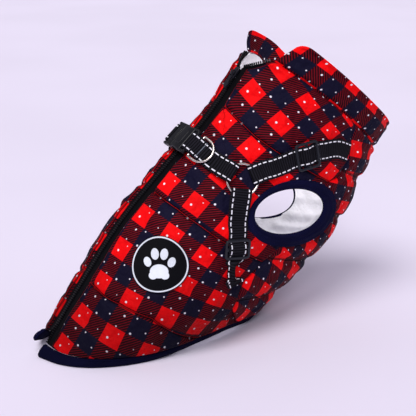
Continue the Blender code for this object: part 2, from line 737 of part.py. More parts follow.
def buckle_parts():
    """Side-release buckle, fastened: a housing on the near strap, and a tongue
    piece on the far strap with three arms that reach into it."""
    origin, out = buckle_axes()
    near = np.array([0.0, -1.0, 0.0])
    place = frame_matrix(origin + out * BUCKLE["base"], near, out)
    half, across, thick = BUCKLE["half"], BUCKLE["across"], BUCKLE["thick"]
    middle = thick / 2
    split = -BUCKLE["split"]

    def block(name, first, last, width, depth):
        size = (last - first, width, depth)
        return add_object(name, box_vertices(size, ((first + last) / 2, 0, middle)), BOX_FACES,
                          "buckle_black", place)

    def strap_end(made, name, way):
        """Opens a slot and thins the end bar, so that webbing can go round it."""
        inner, outer = half - BUCKLE["bar"] - BUCKLE["slot"], half + 1.0
        width = WEB + 1.6
        slot = (inner + half - BUCKLE["bar"]) / 2
        cut(made, add_object(f"{name}_slot", box_vertices((BUCKLE["slot"], width, thick * 3),
                                                          (way * slot, 0, middle)),
                             BOX_FACES, "buckle_black", place))
        for number, edge in enumerate((-1, 1)):
            depth = (thick - BUCKLE["bar"]) / 2
            height = middle + edge * (thick / 2 - depth / 2 + 0.5)
            trim = box_vertices((outer - inner, width, depth + 1.0),
                                (way * (inner + outer) / 2, 0, height))
            cut(made, add_object(f"{name}_trim_{number}", trim, BOX_FACES, "buckle_black", place))

    housing = rounded(block("buckle_housing", split, half, across, thick), 1.2)
    cut(housing, block("buckle_cavity", split - 1.0, 11.0, across - 5.0, thick - 3.0))
    for number, edge in enumerate((-1, 1)):
        window = box_vertices((9.0, 8.0, thick - 3.0), (4.5, edge * across / 2, middle))
        cut(housing, add_object(f"buckle_window_{number}", window, BOX_FACES, "buckle_black", place))
    strap_end(housing, "housing", 1)

    base = rounded(block("buckle_tongue", -half, split - GAP, across, thick), 1.2)
    for number, (edge, width) in enumerate(((-1, 3.4), (0, 4.0), (1, 3.4))):
        arm = box_vertices((ARM_REACH + 2.0, width, thick - 3.8),
                           (split - 2.0 + ARM_REACH / 2, edge * (across / 2 - 4.6), middle))
        joined = base.modifiers.new("arm", "BOOLEAN")
        joined.operation = "UNION"
        joined.solver = "EXACT"
        joined.object = guide(add_object(f"buckle_arm_{number}", arm, BOX_FACES,
                                         "buckle_black", place))
    strap_end(base, "tongue", -1)


def buckle_bar():
    """Distance of the end bar's middle from the zip, and its height over it."""
    return BUCKLE["half"] - BUCKLE["bar"] / 2, BUCKLE["base"] + BUCKLE["thick"] / 2


def back_route(side):
    """Route of the back strap, and the distance along it to the buckle's bar.
    It comes straight down from the bar to the cloth."""
    route = Route(BACK_STRAP, side)
    origin, out = buckle_axes()
    from_zip, high = buckle_bar()
    end = route.length - from_zip
    bar = origin + np.array([0.0, -side * from_zip, 0.0]) + out * high
    landing = end - D_RING["reach"] - 10.0
    ahead = bar - route.place(landing, 0.0, high)
    ahead /= np.linalg.norm(ahead)
    out = out + route.axes(landing)[3]
    out -= ahead * np.dot(out, ahead)
    out /= np.linalg.norm(out)
    route.straighten(bar - out * high, ahead, out, end, BUCKLE_FLAT, BUCKLE_FADE)
    return route, end


def back_strap(name, route, end):
    """The strap from the buckle's end bar to the ring. It goes over the bar of
    the buckle, comes back underneath, and lies double. Its lower layer ends
    just before the end that is turned back from the ring."""
    _, bar = buckle_bar()
    loop = BUCKLE["bar"] / 2 + 3 * GAP + WEB_THICK / 2
    slack = loop + 2 * GAP
    spread = D_RING["wire"] + 2 * GAP + WEB_THICK / 2 + 0.2
    profile = [(RETURN + 1.0, REST), (end - 20.0, REST), (end - 13.0, REST + 0.5),
               (end - D_BAR_BEFORE, D_BAR_HEIGHT - spread), (end, bar - loop)]
    profile += half_turn((end, bar), slack, loop, -math.pi / 2)[1:]
    profile += [(end - D_BAR_BEFORE, D_BAR_HEIGHT + spread), (end - 13.0, DOUBLE + 1.6),
                (end - 20.0, DOUBLE + 0.3), (end - 26.0, DOUBLE)]
    profile += ring_fold()
    ribbon(name, route, profile)


def d_ring(route, end):
    """Nickel D on the near strap. Its straight bar, which it swings on, lies in
    the webbing's loop next to the buckle, and its bow lies over the strap."""
    here, forward, across, out = route.axes(end - D_BAR_BEFORE)
    pivot = here + out * D_BAR_HEIGHT
    tilt = math.radians(D_RING["tilt"])
    bow = -forward * math.cos(tilt) + out * math.sin(tilt)
    place = frame_matrix(pivot, across, np.cross(across, bow))
    half = D_RING["inner"] / 2 + D_RING["wire"]
    depth = D_RING["reach"] - D_RING["straight"]
    centres = [(half * (k / 3 - 1), 0.0) for k in range(7)]
    for k in range(15):
        angle = math.pi * k / 14
        centres.append((half * math.cos(angle), D_RING["straight"] + depth * math.sin(angle)))
    tube_ring("d_ring", centres, D_RING["wire"], "nickel", place)


# ---------------------------------------------------------------- badge
def badge():
    """Round sewn badge that follows the panel under it."""
    along, turn = BADGE_AT
    spans = np.array([0.35, 0.7, 1.0]) * BADGE_RADIUS
    angle = np.arange(BADGE_SIDES) * 2 * np.pi / BADGE_SIDES
    step = 0.001
    up = np.linalg.norm(coat(along + step, turn) - coat(along - step, turn)) / (2 * step)
    round_ = np.linalg.norm(coat(along, turn + 0.5) - coat(along, turn - 0.5))
    skew = np.dot(coat(along + step, turn) - coat(along - step, turn),
                  coat(along, turn + 0.5) - coat(along, turn - 0.5)) / (2 * step) / up / round_
    first = np.cos(angle)[:, None] * spans
    second = np.sin(angle)[:, None] * spans
    turns = turn + second / round_ / math.sqrt(1 - skew**2)
    alongs = along + (first - second * skew / math.sqrt(1 - skew**2)) / up
    low = 2 * GAP
    outer = coat(alongs, turns, low + BADGE_THICK)
    inner = coat(alongs, turns, low)
    rows, columns = outer.shape[:2]
    count = rows * columns
    vertices = np.concatenate([outer.reshape(-1, 3), inner.reshape(-1, 3),
                               [coat(along, turn, low + BADGE_THICK)], [coat(along, turn, low)]])
    faces = []
    for i in range(rows):
        a, b = i * columns, (i + 1) % rows * columns
        for j in range(columns - 1):
            faces.append((a + j, b + j, b + j + 1, a + j + 1))
            faces.append((count + a + j, count + a + j + 1, count + b + j + 1, count + b + j))
        j = columns - 1
        faces.append((a + j, b + j, count + b + j, count + a + j))
        faces.append((a, 2 * count, b))
        faces.append((count + a, count + b, 2 * count + 1))
    add_object("badge_near", vertices, faces, "badge_black")


def main():
    for item in list(bpy.data.objects):
        bpy.data.objects.remove(item)
    lining_outer, lining_inner = -PANEL - GAP, -PANEL - GAP - LINING
    for word, side in (("near", 1), ("far", -1)):
        back_panel(f"back_panel_{word}", side, 0.0, -PANEL, "check_cloth")
        back_panel(f"back_lining_{word}", side, lining_outer, lining_inner, "lining_white", 0.4)
        arm_edging(f"armhole_edging_{word}", side)
    belly_panel("belly_panel", 0.0, -PANEL, "check_cloth")
    belly_panel("belly_lining", lining_outer, lining_inner, "lining_white", 0.4)
    collar()
    hem_edging()
    zip_parts()
    zip_slider()
    zip_pull()
    for word, side in (("near", 1), ("far", -1)):
        back, buckle_end = back_route(side)
        chest, belly = Route(CHEST_STRAP, side), Route(BELLY_STRAP, side)
        middle, out = ring_place(side)
        for route in (back, chest, belly):
            toward = route.place(RING_RADIUS, 0.0, 0.0) - middle
            toward = toward - out * np.dot(toward, out)
            route.straighten(middle, toward, out, 0.0, RING_FLAT, RING_FADE)
        chest.straighten_at(CHEST_SLIDE_AT, SLIDE_FLAT, SLIDE_FADE)
        belly.straighten_at(BELLY_SLIDE_AT, SLIDE_FLAT, SLIDE_FADE)
        junction_ring(f"junction_ring_{word}", side)
        back_strap(f"back_strap_{word}", back, buckle_end)
        sewn_strap(f"chest_strap_{word}", chest, CHEST_SLIDE_AT)
        sewn_strap(f"belly_strap_{word}", belly, BELLY_SLIDE_AT)
        slide(f"chest_slide_{word}", chest, CHEST_SLIDE_AT)
        slide(f"belly_slide_{word}", belly, BELLY_SLIDE_AT)
        if side > 0:
            d_ring(back, buckle_end)
    buckle_parts()
    badge()


main()
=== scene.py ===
"""Looks of a padded winter coat for a small dog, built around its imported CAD.

The cloth is fine shells over the CAD's form, with quilting, gathers and creases added. Places on the
coat are (along, turn): along runs 0 at the hem to 1 at the neck seam, turn 0 at the zip to 180 at mid
belly, positive on the near side. Tables are millimetres and degrees; meshes and UV maps are metres.
"""
import math

import bpy
import numpy as np
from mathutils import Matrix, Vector


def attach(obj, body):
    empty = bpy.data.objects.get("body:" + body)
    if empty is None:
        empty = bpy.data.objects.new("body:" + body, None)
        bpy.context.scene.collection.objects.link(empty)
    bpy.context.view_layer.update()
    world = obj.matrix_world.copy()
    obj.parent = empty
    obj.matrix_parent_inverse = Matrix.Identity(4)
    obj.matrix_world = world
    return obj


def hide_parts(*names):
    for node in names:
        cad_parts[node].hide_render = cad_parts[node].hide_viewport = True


bl_info = {
    "name": "Padded dog coat",
    "version": (1, 0, 0),
    "blender": (4, 5, 0),
    "location": "View3D > Sidebar > Dog coat",
    "description": "Builds the cloth, harness and fittings of a padded dog coat",
    "category": "Object",
}

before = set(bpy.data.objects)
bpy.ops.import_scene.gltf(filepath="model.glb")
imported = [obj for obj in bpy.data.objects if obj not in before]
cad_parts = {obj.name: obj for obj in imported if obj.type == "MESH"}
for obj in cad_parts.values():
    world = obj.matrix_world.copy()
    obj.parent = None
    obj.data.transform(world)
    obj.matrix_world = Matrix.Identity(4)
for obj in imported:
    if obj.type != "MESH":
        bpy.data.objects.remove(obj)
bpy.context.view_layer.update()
MM = 0.001
SIDES = (("near", 1), ("far", -1))

# ---- the coat's form
CENTRE_X = 105.4
# along, spine x, spine z, belly x, belly z, half width, egg (wider at the back)
STATIONS = np.array([
    (0, -91.3,   0, 139.1,   0, 57, 0.26),
    (0.2, -48.1,  63.1, 170.5,  28.8, 73, 0.25),
    (0.4,  -3.5, 123.3, 204.9,  55, 71, 0.23),
    (0.6,  45.9, 174.9, 236.4,  85.6, 69, 0.19),
    (0.8,  93.8, 222.7, 260.3, 126.3, 63, 0.14),
    (1, 138, 281, 282, 169, 52, 0.1),
])
HEM_LIFT, HEM_LIFT_FROM, HEM_LIFT_SPAN, HEM_LIFT_FADE = 7, 70, 100, 0.12
TAIL_SPAN, TAIL_RISE, TAIL_RISE_FADE = 45, 0.036, 0.25
TAIL_FLARE, TAIL_FLARE_FADE = 8, 0.035
NECK_RISE, NECK_RISE_AT, NECK_RISE_WIDTH = 0.024, -52, 18
PANEL, LINING, GAP = 2.6, 1, 0.3
HEM_BAND, HEM_SWELL, HEM_SEAM, EDGING_PROUD, HEM_END = 11, 2.5, 0.7, 0.5, 2.5
NECK_END, ZIP_OPEN, ZIP_SPLIT, ZIP_HALF, TEETH_HALF, PANEL_TOP = 31, 0.92, 0.945, 11.2, 2.3, 0.999
# side seam between back panel and belly panel: along, turn
SIDE_SEAM = np.array([
    (0, 126), (0.05, 121), (0.18, 104), (0.32, 96), (0.471, 102.5),
    (0.745, 102.5), (0.8, 113), (0.88, 116), (0.94, 110), (1, 104),
])
# the armholes: middle and half size along the coat, and in turn on the near and far side
ARM_ALONG, ARM_HALF = 0.61, 0.138
ARM_TURN = {1: (100.8, 30.5), -1: (105.5, 33)}
# the armhole edgings' outer and inner outlines: middle and half size along the coat, middle and
# half size in turn, and lean; the far one is seen wider through the near one
ARM_EDGES = {1: [(0.612, 0.1395, 100.6, 33, -0.07), (0.6154, 0.0945, 94.9, 23, -0.19)],
             -1: [(0.608, 0.1415, 105.5, 35, 0), (0.602, 0.129, 107.5, 30.2, -0.06)]}
# collar: turn, how far the rim is moved forward, sideways out and up
COLLAR = np.array([
    (31, 21, 17, 18), (50, 22, 9, 18), (75, 23, 1, 18),
    (105, 24, -4, 18), (140, 22, -3, 21), (180, 20, 0, 24),
])
FAR_COLLAR = np.concatenate([[(31, 9, 16, 20.5), (50, 18, 9, 14)], COLLAR[2:]])
COLLAR_WALL, COLLAR_HEIGHT, COLLAR_BOW, COLLAR_CORNERS, COLLAR_TUCK = 3, 31, 1.6, (13, 10), 0.045
WEB, WEB_THICK = 20, 1.2
RING_AT = (0.652, 54)
RING_RADIUS, RING_WIRE, FOLD, RETURN = 15, 1.1, 9, 30
BACK_STRAP = [RING_AT, (0.662, 40), (0.674, 24), (0.684, 9), (0.688, 0)]
CHEST_STRAP = [RING_AT, (0.7, 61), (0.74, 68), (0.795, 77.5), (0.845, 89),
               (0.885, 101), (0.898, 112.5)]
BELLY_STRAP = [RING_AT, (0.603, 59), (0.56, 63.2), (0.515, 68.2), (0.468, 73.8),
               (0.405, 80.5), (0.352, 85.3), (0.303, 92)]
WEB_CLEAR = 0.5
REST = WEB_CLEAR + WEB_THICK / 2
DOUBLE = REST + WEB_THICK + GAP
RING_HEIGHT = REST + WEB_THICK / 2 + WEB_CLEAR + RING_WIRE
ROUTE_STEPS = 161
RING_FLAT, RING_FADE = 19, 14
SLIDE_FLAT, SLIDE_FADE = 15, 9
BUCKLE_FLAT, BUCKLE_FADE = 17, 12
# the slides: distance from the ring, and length along the strap
CHEST_SLIDE, BELLY_SLIDE = (71.5, 27), (66, 19.5)
SLIDE = {"across": 27, "bar": 2.6, "middle": 1.7, "thick": 1.7, "height": 1.9}
BUCKLE = {"across": 28, "half": 21, "thick": 7, "base": 2.6, "split": 3,
          "bar": 3, "slot": 4.2}
D_RING = {"inner": 22, "wire": 1.2, "reach": 16.5, "bow": 20, "straight": 7.5, "tilt": 3.5}
D_BAR_BEFORE, D_BAR_HEIGHT = 6.8, 4.9
BADGE_AT, BADGE_RADIUS, BADGE_THICK = (0.335, 44), 27, 0.9

# ---- the cloth's relief
# quilting seams of a back panel and of the belly panel: (along, turn) points
BACK_QUILT = [
    [(0.832, 9), (0.828, 14), (0.81, 30.5), (0.792, 45), (0.78, 62),
     (0.772, 80), (0.768, 96)],
    [(0.52, 6), (0.517, 9), (0.5, 32), (0.478, 50), (0.45, 67),
     (0.425, 84), (0.405, 97)],
    [(0.226, 9), (0.223, 14.5), (0.212, 23), (0.203, 36), (0.175, 58),
     (0.12, 76), (0.06, 95)],
]
BELLY_QUILT = [(0.2, 0.03), (0.403, 0.02), (0.657, 0), (0.848, -0.02)]
# creases: along and turn of both ends, depth (below 0 a dent) and half width in mm
CREASES = [
    (0.7, 14, 0.775, 27, -1.3, 3.4), (0.715, 22, 0.79, 38, 1, 4.2), (0.86, 18, 0.91, 40, -1.1, 3.5),
    (0.87, 45, 0.93, 72, -1.2, 3.8), (0.94, 52, 0.97, 84, 1.1, 4), (0.58, 12, 0.6, 34, -1, 3.8),
    (0.545, 16, 0.555, 42, 0.9, 4.5), (0.44, 18, 0.47, 42, 0.9, 5), (0.4, 12, 0.43, 30, -1.1, 3.6),
    (0.3, 10, 0.27, 24, -0.9, 3.5), (0.15, 14, 0.11, 34, -1.3, 4.2), (0.1, 30, 0.06, 56, 1.1, 5),
    (0.3, 66, 0.22, 82, -1.5, 4), (0.36, 70, 0.42, 84, 1, 4), (0.44, 82, 0.38, 92, -1.4, 3.4),
    (0.24, 84, 0.13, 93, 1.1, 4.4), (0.42, 100, 0.3, 106, -1.6, 3.6), (0.36, 112, 0.27, 118, 1.2, 4.6),
    (0.2, 112, 0.12, 132, -1.4, 4.5), (0.52, 134, 0.58, 148, -1.3, 4), (0.7, 132, 0.76, 120, -1.5, 3.6),
    (0.62, 140, 0.68, 152, 1.1, 4.5), (0.8, 120, 0.9, 134, -1.4, 4.4), (0.93, 120, 0.9, 142, 1.2, 4.8),
    (0.31, 140, 0.33, 166, -1.1, 4.6), (0.09, 146, 0.11, 172, -1.3, 5)]
PUFF = 1.5                  # how high the cloth stands between quilting seams
SEAM_DEPTH, SEAM_WIDTH = 2.4, 2.6
BELLY_SEAM_DEPTH, BELLY_SEAM_WIDTH = 3.8, 4.2
STRAP_CLEAR = 0.25          # highest relief under the webbing

# ---- the check print
REPEAT = 37.6               # two squares
# how the near panel's and the belly's grain lie: the print's (round, along) as sums of 1, r, l,
# r r, r l, l l, r l l and l l l, where r and l are the flat places in hundreds of millimetres
GRAIN = np.array([(-22.3, -33.2), (102, 25.1), (-20.9, 122.4), (-4.6, -9.4), (13.1, -29.9),
                  (16.3, -9.8), (-5.2, 10.5), (-3.2, 0.8)])
BELLY_GRAIN = np.array([(-25.7, 1.2), (88, 12.1), (-36.1, 118.3)])
# a red square's centre, round from the zip and along it
FAR_ORIGIN = (-12.0, 10.9)
COLLAR_ORIGIN = (36.8, 29.3)
# white dots of one repeat: place from the red centre in repeats, radius in mm
DOTS = [(-0.088, -0.074, 1.05), (0.12, 0.14, 0.5), (0.36, 0.29, 1), (0.36, 0.7, 0.7),
        (0.69, 0.47, 0.7), (0.6, -0.04, 0.5), (-0.025, 0.28, 0.7), (0.05, 0.61, 1)]


# ---- the form, as in the CAD
def unit(vectors):
    return vectors / np.linalg.norm(vectors, axis=-1, keepdims=True)


def bell(value, width, centre=0):
    """Bell curve: e to the power of minus the square of the widths from centre."""
    return np.exp(-((value - centre) / width) ** 2)


def smooth_step(value, low, high):
    """0 below low, 1 above high, and three squares less two cubes between."""
    t = np.clip((value - low) / (high - low), 0, 1)
    return t * t * (3 - 2 * t)


def travelled(points, closed=False):
    """Each point's distance along its line, and a closed line's way back to the start."""
    if closed:
        points = np.concatenate([points, points[:1]])
    return np.concatenate([[0], np.cumsum(np.linalg.norm(np.diff(points, axis=0), axis=1))])


def grid_places(down, across):
    """Flat places of a grid, from the distances of its rows and its columns."""
    return np.stack(np.broadcast_arrays(down[:, None], across), -1)


def smooth_rows(position, table):
    """Smooth curve through a table's rows by position, its first column: a cubic between two rows,
    with slopes taken from their neighbours."""
    knots, values = table[:, 0], table[:, 1:]
    slopes = np.gradient(values, knots, axis=0)
    position = np.asarray(position, float)
    row = np.clip(np.searchsorted(knots, position, side="right") - 1, 0, len(knots) - 2)
    step = (knots[row + 1] - knots[row])[..., None]
    t = (position - knots[row])[..., None] / step
    return ((2 * t**3 - 3 * t**2 + 1) * values[row]
            + (t**3 - 2 * t**2 + t) * step * slopes[row]
            + (3 * t**2 - 2 * t**3) * values[row + 1]
            + (t**3 - t**2) * step * slopes[row + 1])


def folded(turn):
    """The same turn between -180 and 180."""
    return (np.asarray(turn, float) + 180) % 360 - 180


def tail_share(turn):
    """Square of a straight ramp: 1 at the zip on the far side, 0 from TAIL_SPAN round and on the near
    side."""
    return np.where(turn < 0, np.clip(1 + turn / TAIL_SPAN, 0, 1) ** 2, 0)


def hem_lift(along, turn):
    """Height of the hem over the floor between flank and belly: a squared half wave round, which fades
    up the coat."""
    wave = np.clip((np.abs(turn) - HEM_LIFT_FROM) / HEM_LIFT_SPAN, 0, 1)
    return HEM_LIFT * np.sin(np.pi * wave) ** 2 * np.exp(-along / HEM_LIFT_FADE)


def bare_form(along, turn):
    """Egg-shaped sections: x and z go from spine to belly by half of one minus the turn's cosine; y is
    the half width times its sine, wider at the back by the egg share times the cosine. Bell curves
    raise the far tail corner and the far side of the neck."""
    along, turn = np.broadcast_arrays(np.asarray(along, float), np.asarray(turn, float))
    turn = folded(turn)
    place = along + TAIL_RISE * tail_share(turn) * np.exp(-along / TAIL_RISE_FADE)
    place = place + (NECK_RISE * bell(turn, NECK_RISE_WIDTH, NECK_RISE_AT)
                     * np.clip((along - 0.85) / 0.15, 0, 1) ** 2)
    row = smooth_rows(place, STATIONS)
    angle = np.radians(turn)
    share = 0.5 - 0.5 * np.cos(angle)
    x = row[..., 0] + (row[..., 2] - row[..., 0]) * share - CENTRE_X
    z = row[..., 1] + (row[..., 3] - row[..., 1]) * share
    y = -row[..., 4] * np.sin(angle) * (1 + row[..., 5] * np.cos(angle))
    return np.stack([x, y, z + hem_lift(along, turn)], -1)


def outward(along, turn):
    """Unit cross product of the form's slopes round and up."""
    up = bare_form(along + 1e-4, turn) - bare_form(along - 1e-4, turn)
    round_ = bare_form(along, turn + 0.05) - bare_form(along, turn - 0.05)
    return unit(np.cross(round_, up))


def coat(along, turn, height=0):
    """The form moved out along its normal by height and by the tail corner's flare, a bell curve up the
    coat."""
    along, turn = np.broadcast_arrays(np.asarray(along, float), np.asarray(turn, float))
    flare = TAIL_FLARE * tail_share(folded(turn)) * bell(along, TAIL_FLARE_FADE)
    offset = (np.asarray(height, float) + flare)[..., None]
    return bare_form(along, turn) + outward(along, turn) * offset


def turn_for(along, distance):
    """Degrees round from the zip that make a short distance."""
    row = smooth_rows(along, STATIONS)
    return np.degrees(distance / (row[..., 4] * (1 + row[..., 5])))


def along_for(turn, distance):
    """The share of the length that makes a distance up from the hem."""
    rise = np.linalg.norm(coat(0.02, turn) - coat(0, turn), axis=-1)
    return distance * 0.02 / rise


def degrees_per_mm(along, turn):
    return 1 / np.linalg.norm(coat(along, turn + 1) - coat(along, turn), axis=-1)


def fine_rows(step):
    """Rows of the panels, about step apart, closer at the armhole's ends."""
    low, high = ARM_ALONG - ARM_HALF, ARM_ALONG + ARM_HALF
    count = np.maximum(np.round(np.array([158, 92, 56, 52]) / step).astype(int), 3)
    below = np.linspace(0, low, count[0] + 1)[:-1]
    arm = ARM_ALONG - ARM_HALF * np.cos(np.linspace(0, np.pi, count[1] + 1))
    above = np.linspace(high, ZIP_OPEN, count[2] + 1)[1:]
    neck = np.linspace(ZIP_OPEN, 1, count[3] + 1)[1:]
    return np.minimum(np.concatenate([below, arm, above, neck]), PANEL_TOP)


def seam_turn(along, way, side=1):
    """Turn of the edge of the back panel (way -1) or the belly panel (way 1): the side seam, or the
    armhole's ellipse where there is one."""
    seam = np.interp(along, SIDE_SEAM[:, 0], SIDE_SEAM[:, 1])
    sizes = np.where(np.asarray(side)[..., None] > 0, ARM_TURN[1], ARM_TURN[-1])
    middle, half = np.moveaxis(sizes, -1, 0)
    share = (along - ARM_ALONG) / ARM_HALF
    arm = middle + way * half * np.sqrt(np.maximum(1 - share**2, 0))
    return np.where(np.abs(share) < 1 - 1e-9, arm, seam)


def zip_edge(along):
    """Turn of the back panel's zip edge, spread above the slider by a power of the way up."""
    closed = turn_for(along, ZIP_HALF)
    spread = np.clip((along - ZIP_SPLIT) / (1 - ZIP_SPLIT), 0, 1)
    return closed + (NECK_END - closed) * spread**0.75


def zip_turn(along, across, side):
    """Turn of a line beside the zip, across in mm from its middle. Above the slider it follows the
    panel's open edge, and the near tape gets narrower by a power of the way up."""
    spread = np.clip((along - ZIP_SPLIT) / (1 - ZIP_SPLIT), 0, 1)
    fold = 0.28 + 0.72 * (1 - spread) ** 1.9 if side > 0 else 1
    return side * (zip_edge(along) - turn_for(along, (ZIP_HALF - across) * fold))


def hem_height(turn):
    """Height of the hem's edging, taller beside the zip by a bell curve."""
    return HEM_BAND + HEM_SWELL * bell(folded(turn), 30)


def lifted(along, turn):
    """Moves the lowest rows up so that they begin at the top of the hem edging."""
    return along + along_for(turn, hem_height(turn) + HEM_SEAM) * np.clip(1 - along / 0.3, 0, 1) ** 2


def panel_places(first, last, columns, side=1, step=1.9):
    """(along, turn) of a panel's grid: each row runs evenly from its first to its last edge."""
    rows = fine_rows(step)
    share = np.linspace(0, 1, columns + 1)
    turn = side * (first(rows)[:, None] + (last(rows) - first(rows))[:, None] * share)
    along = np.broadcast_to(rows[:, None], turn.shape)
    return lifted(along, turn), turn


def flattened(points, turn0):
    """The flat cloth's place of each point: (round, along) in mm from a line up the coat at turn0.
    Along is the line's length to the point's foot; round is the arc that has the chord from foot to
    point and starts square to the line: chord times angle over the angle's sine."""
    shape = points.shape[:-1]
    points = points.reshape(-1, 3)
    line = coat(np.linspace(0, 1, 401), np.full(401, float(turn0)))
    spare = np.arange(1, 61)[:, None]
    line = np.concatenate([line[0] - (line[1] - line[0]) * spare[::-1], line,
                           line[-1] + (line[-1] - line[-2]) * spare])
    ahead = unit(np.gradient(line, axis=0))
    length = travelled(line)
    length -= length[60]
    past = points @ ahead.T - (line * ahead).sum(1)
    foot = np.clip(np.abs(past).argmin(1), 1, len(line) - 2)
    rest = past[np.arange(len(points)), foot]
    away = points - line[foot] - ahead[foot] * rest[:, None]
    deep = unit(np.cross(ahead[foot], np.array([0, 1, 0])))
    depth = np.abs((away * deep).sum(1))
    chord = np.hypot(away[:, 1], depth)
    angle = np.maximum(np.arctan2(depth, np.abs(away[:, 1]) + 1e-9), 1e-4)
    round_ = -np.sign(away[:, 1]) * chord * angle / np.sin(angle)
    return np.stack([round_, length[foot] + rest], -1).reshape(*shape, 2)


def grained(flat, grain):
    """A panel's flat places with the bend of its grain, as the table gives it."""
    r, l = flat[..., 0] / 100, flat[..., 1] / 100
    terms = np.stack([np.ones_like(r), r, l, r * r, r * l, l * l, r * l * l, l**3], -1)
    return terms[..., :len(grain)] @ grain


# ---- relief of the cloth
def mirrored(places, side, shift=0):
    """(along, turn) places on one side, moved along by shift."""
    return [(along + shift, side * turn) for along, turn in places]


def measured(places):
    """(along, turn) places, each after its distance from the first."""
    places = np.array(places, float)
    return np.column_stack([travelled(coat(places[:, 0], places[:, 1])), places])


def strung(places, spacing=0.7):
    """Points on the coat through (along, turn) places, evenly close together."""
    table = measured(places)
    count = int(table[-1, 0] / spacing) + 2
    if len(table) > 2:
        fine = smooth_rows(np.linspace(0, table[-1, 0], count), table)
    else:
        fine = table[0, 1:] + (table[1, 1:] - table[0, 1:]) * np.linspace(0, 1, count)[:, None]
    return coat(fine[:, 0], fine[:, 1])


def nearest(points, line, block=4000):
    """Distance of each point to a line of points, and the number of the nearest one."""
    flat = points.reshape(-1, 3)
    far, which = [], []
    for start in range(0, len(flat), block):
        part = flat[start:start + block]
        square = (part**2).sum(1)[:, None] + (line**2).sum(1) - 2 * part @ line.T
        which.append(square.argmin(1))
        far.append(np.sqrt(np.maximum(square.min(1), 0)))
    return tuple(np.concatenate(k).reshape(points.shape[:-1]) for k in (far, which))


def ripple(points, seed, longest=42, shortest=13, count=9):
    """Sum of a few sine waves of different lengths and directions in space, about -1 to 1."""
    chance = np.random.default_rng(seed)
    total = np.zeros(points.shape[:-1])
    for _ in range(count):
        way = unit(chance.normal(size=3))
        wave = np.exp(chance.uniform(np.log(shortest), np.log(longest)))
        total += np.sin(points @ way * 2 * np.pi / wave + chance.uniform(0, 6.28)) * wave**0.5
    return total / (count**0.5 * ((longest + shortest) / 2) ** 0.5)


def stitched(points, line, depth, width, seed):
    """Dent of a quilting seam: a bell curve across the line, with short puckers beside it whose height
    is two sines along it."""
    far, which = nearest(points, line)
    run = which * 0.7
    chance = np.random.default_rng(seed)
    first, second = chance.uniform(0, 6.28, 2)
    pucker = np.sin(run * 2 * np.pi / 8.3 + first) + 0.7 * np.sin(run * 2 * np.pi / 13.1 + second)
    return -depth * bell(far, width) + 0.3 * pucker * bell(far, 3.6, width * 1.2)


def creased(points, side, seed):
    """The listed creases: each is a bell curve across a line and fades at both its ends."""
    total = np.zeros(points.shape[:-1])
    chance = np.random.default_rng(seed)
    for *ends, depth, half in CREASES:
        shift = chance.uniform(-0.012, 0.012) if side < 0 else 0
        grow = chance.uniform(0.75, 1.15) if side < 0 else 1
        line = strung(mirrored(zip(ends[::2], ends[1::2]), side, shift), 1)
        far, which = nearest(points, line)
        end = np.sin(np.pi * np.clip(which / (len(line) - 1), 0, 1)) ** 0.5
        total += 1.5 * grow * depth * end * bell(far, half)
    return total


def puffed(along, seams, power=0.55):
    """Swelling between seams, given as grids of their places along the coat: a power of half a sine
    wave from one to the next."""
    edges = [np.zeros_like(along), *seams, np.ones_like(along)]
    total = np.zeros_like(along)
    for low, high in zip(edges[:-1], edges[1:]):
        t = np.clip((along - low) / np.maximum(high - low, 1e-6), 0, 1)
        total = np.maximum(total, np.sin(np.pi * t) ** power)
    return total


def held_down(points, relief, side):
    """Lowers the relief under straps, fittings and badge, and at the armhole."""
    def away(along, turn):
        return np.linalg.norm(points - coat(along, side * turn), axis=-1)

    under = [(nearest(points, strung(mirrored(route, side), 1))[0], 11.5)
             for route in (BACK_STRAP, CHEST_STRAP, BELLY_STRAP)]
    for far, clear in (*under, (away(*RING_AT), 17), (away(BACK_STRAP[-1][0], 0), 24)):
        share = smooth_step(far, clear, clear + 7)
        relief = np.where(relief > STRAP_CLEAR, STRAP_CLEAR + (relief - STRAP_CLEAR) * share, relief)
    if side > 0:
        relief *= smooth_step(away(*BADGE_AT), BADGE_RADIUS + 0.5, BADGE_RADIUS + 8)
    angle = np.linspace(0, 2 * np.pi, 200)
    middle, half = ARM_TURN[side]
    rim = coat(ARM_ALONG - ARM_HALF * np.cos(angle), side * (middle + half * np.sin(angle)))
    far, _ = nearest(points, rim)
    return relief * smooth_step(far, -1, 8) - 0.5 * bell(far, 2.5)


def welt(far, height, centre=4.5, width=3.2):
    """A soft roll beside an edge, far from the edge in millimetres."""
    return height * bell(far, width, centre)


def past_zip(along, about):
    """Millimetres from the back panel's zip edge."""
    return (about - zip_edge(np.clip(along, 0, 1))) / degrees_per_mm(along, 10)


def quilt_along(places, about):
    """Place along the coat of a back panel's quilting seam, at each turn."""
    return np.interp(about, *np.array(places).T[::-1])


def edged(relief, points, along, turn, from_seam, top, low, sides):
    """A panel's relief with a groove and a soft roll along the side seam, the neck seam and the hem's
    edging, and held down under the fittings."""
    rise = np.maximum(along_for(turn, 1), 1e-6)
    to_top, up = (1 - along) / rise, along / rise - hem_height(turn)
    relief = relief + (welt(from_seam, 0.9) - 1.2 * bell(from_seam, 2))
    relief = relief * smooth_step(to_top, -4, 9) + welt(to_top, top, 5, 3.6)
    relief -= 1.6 * bell(to_top, 1.9)
    relief = relief * smooth_step(up, -1, 9) + welt(up, low, 4, 3) * smooth_step(up, 0, 2)
    for side in sides:
        relief = held_down(points, relief, side)
    return np.maximum(relief, -1.7)


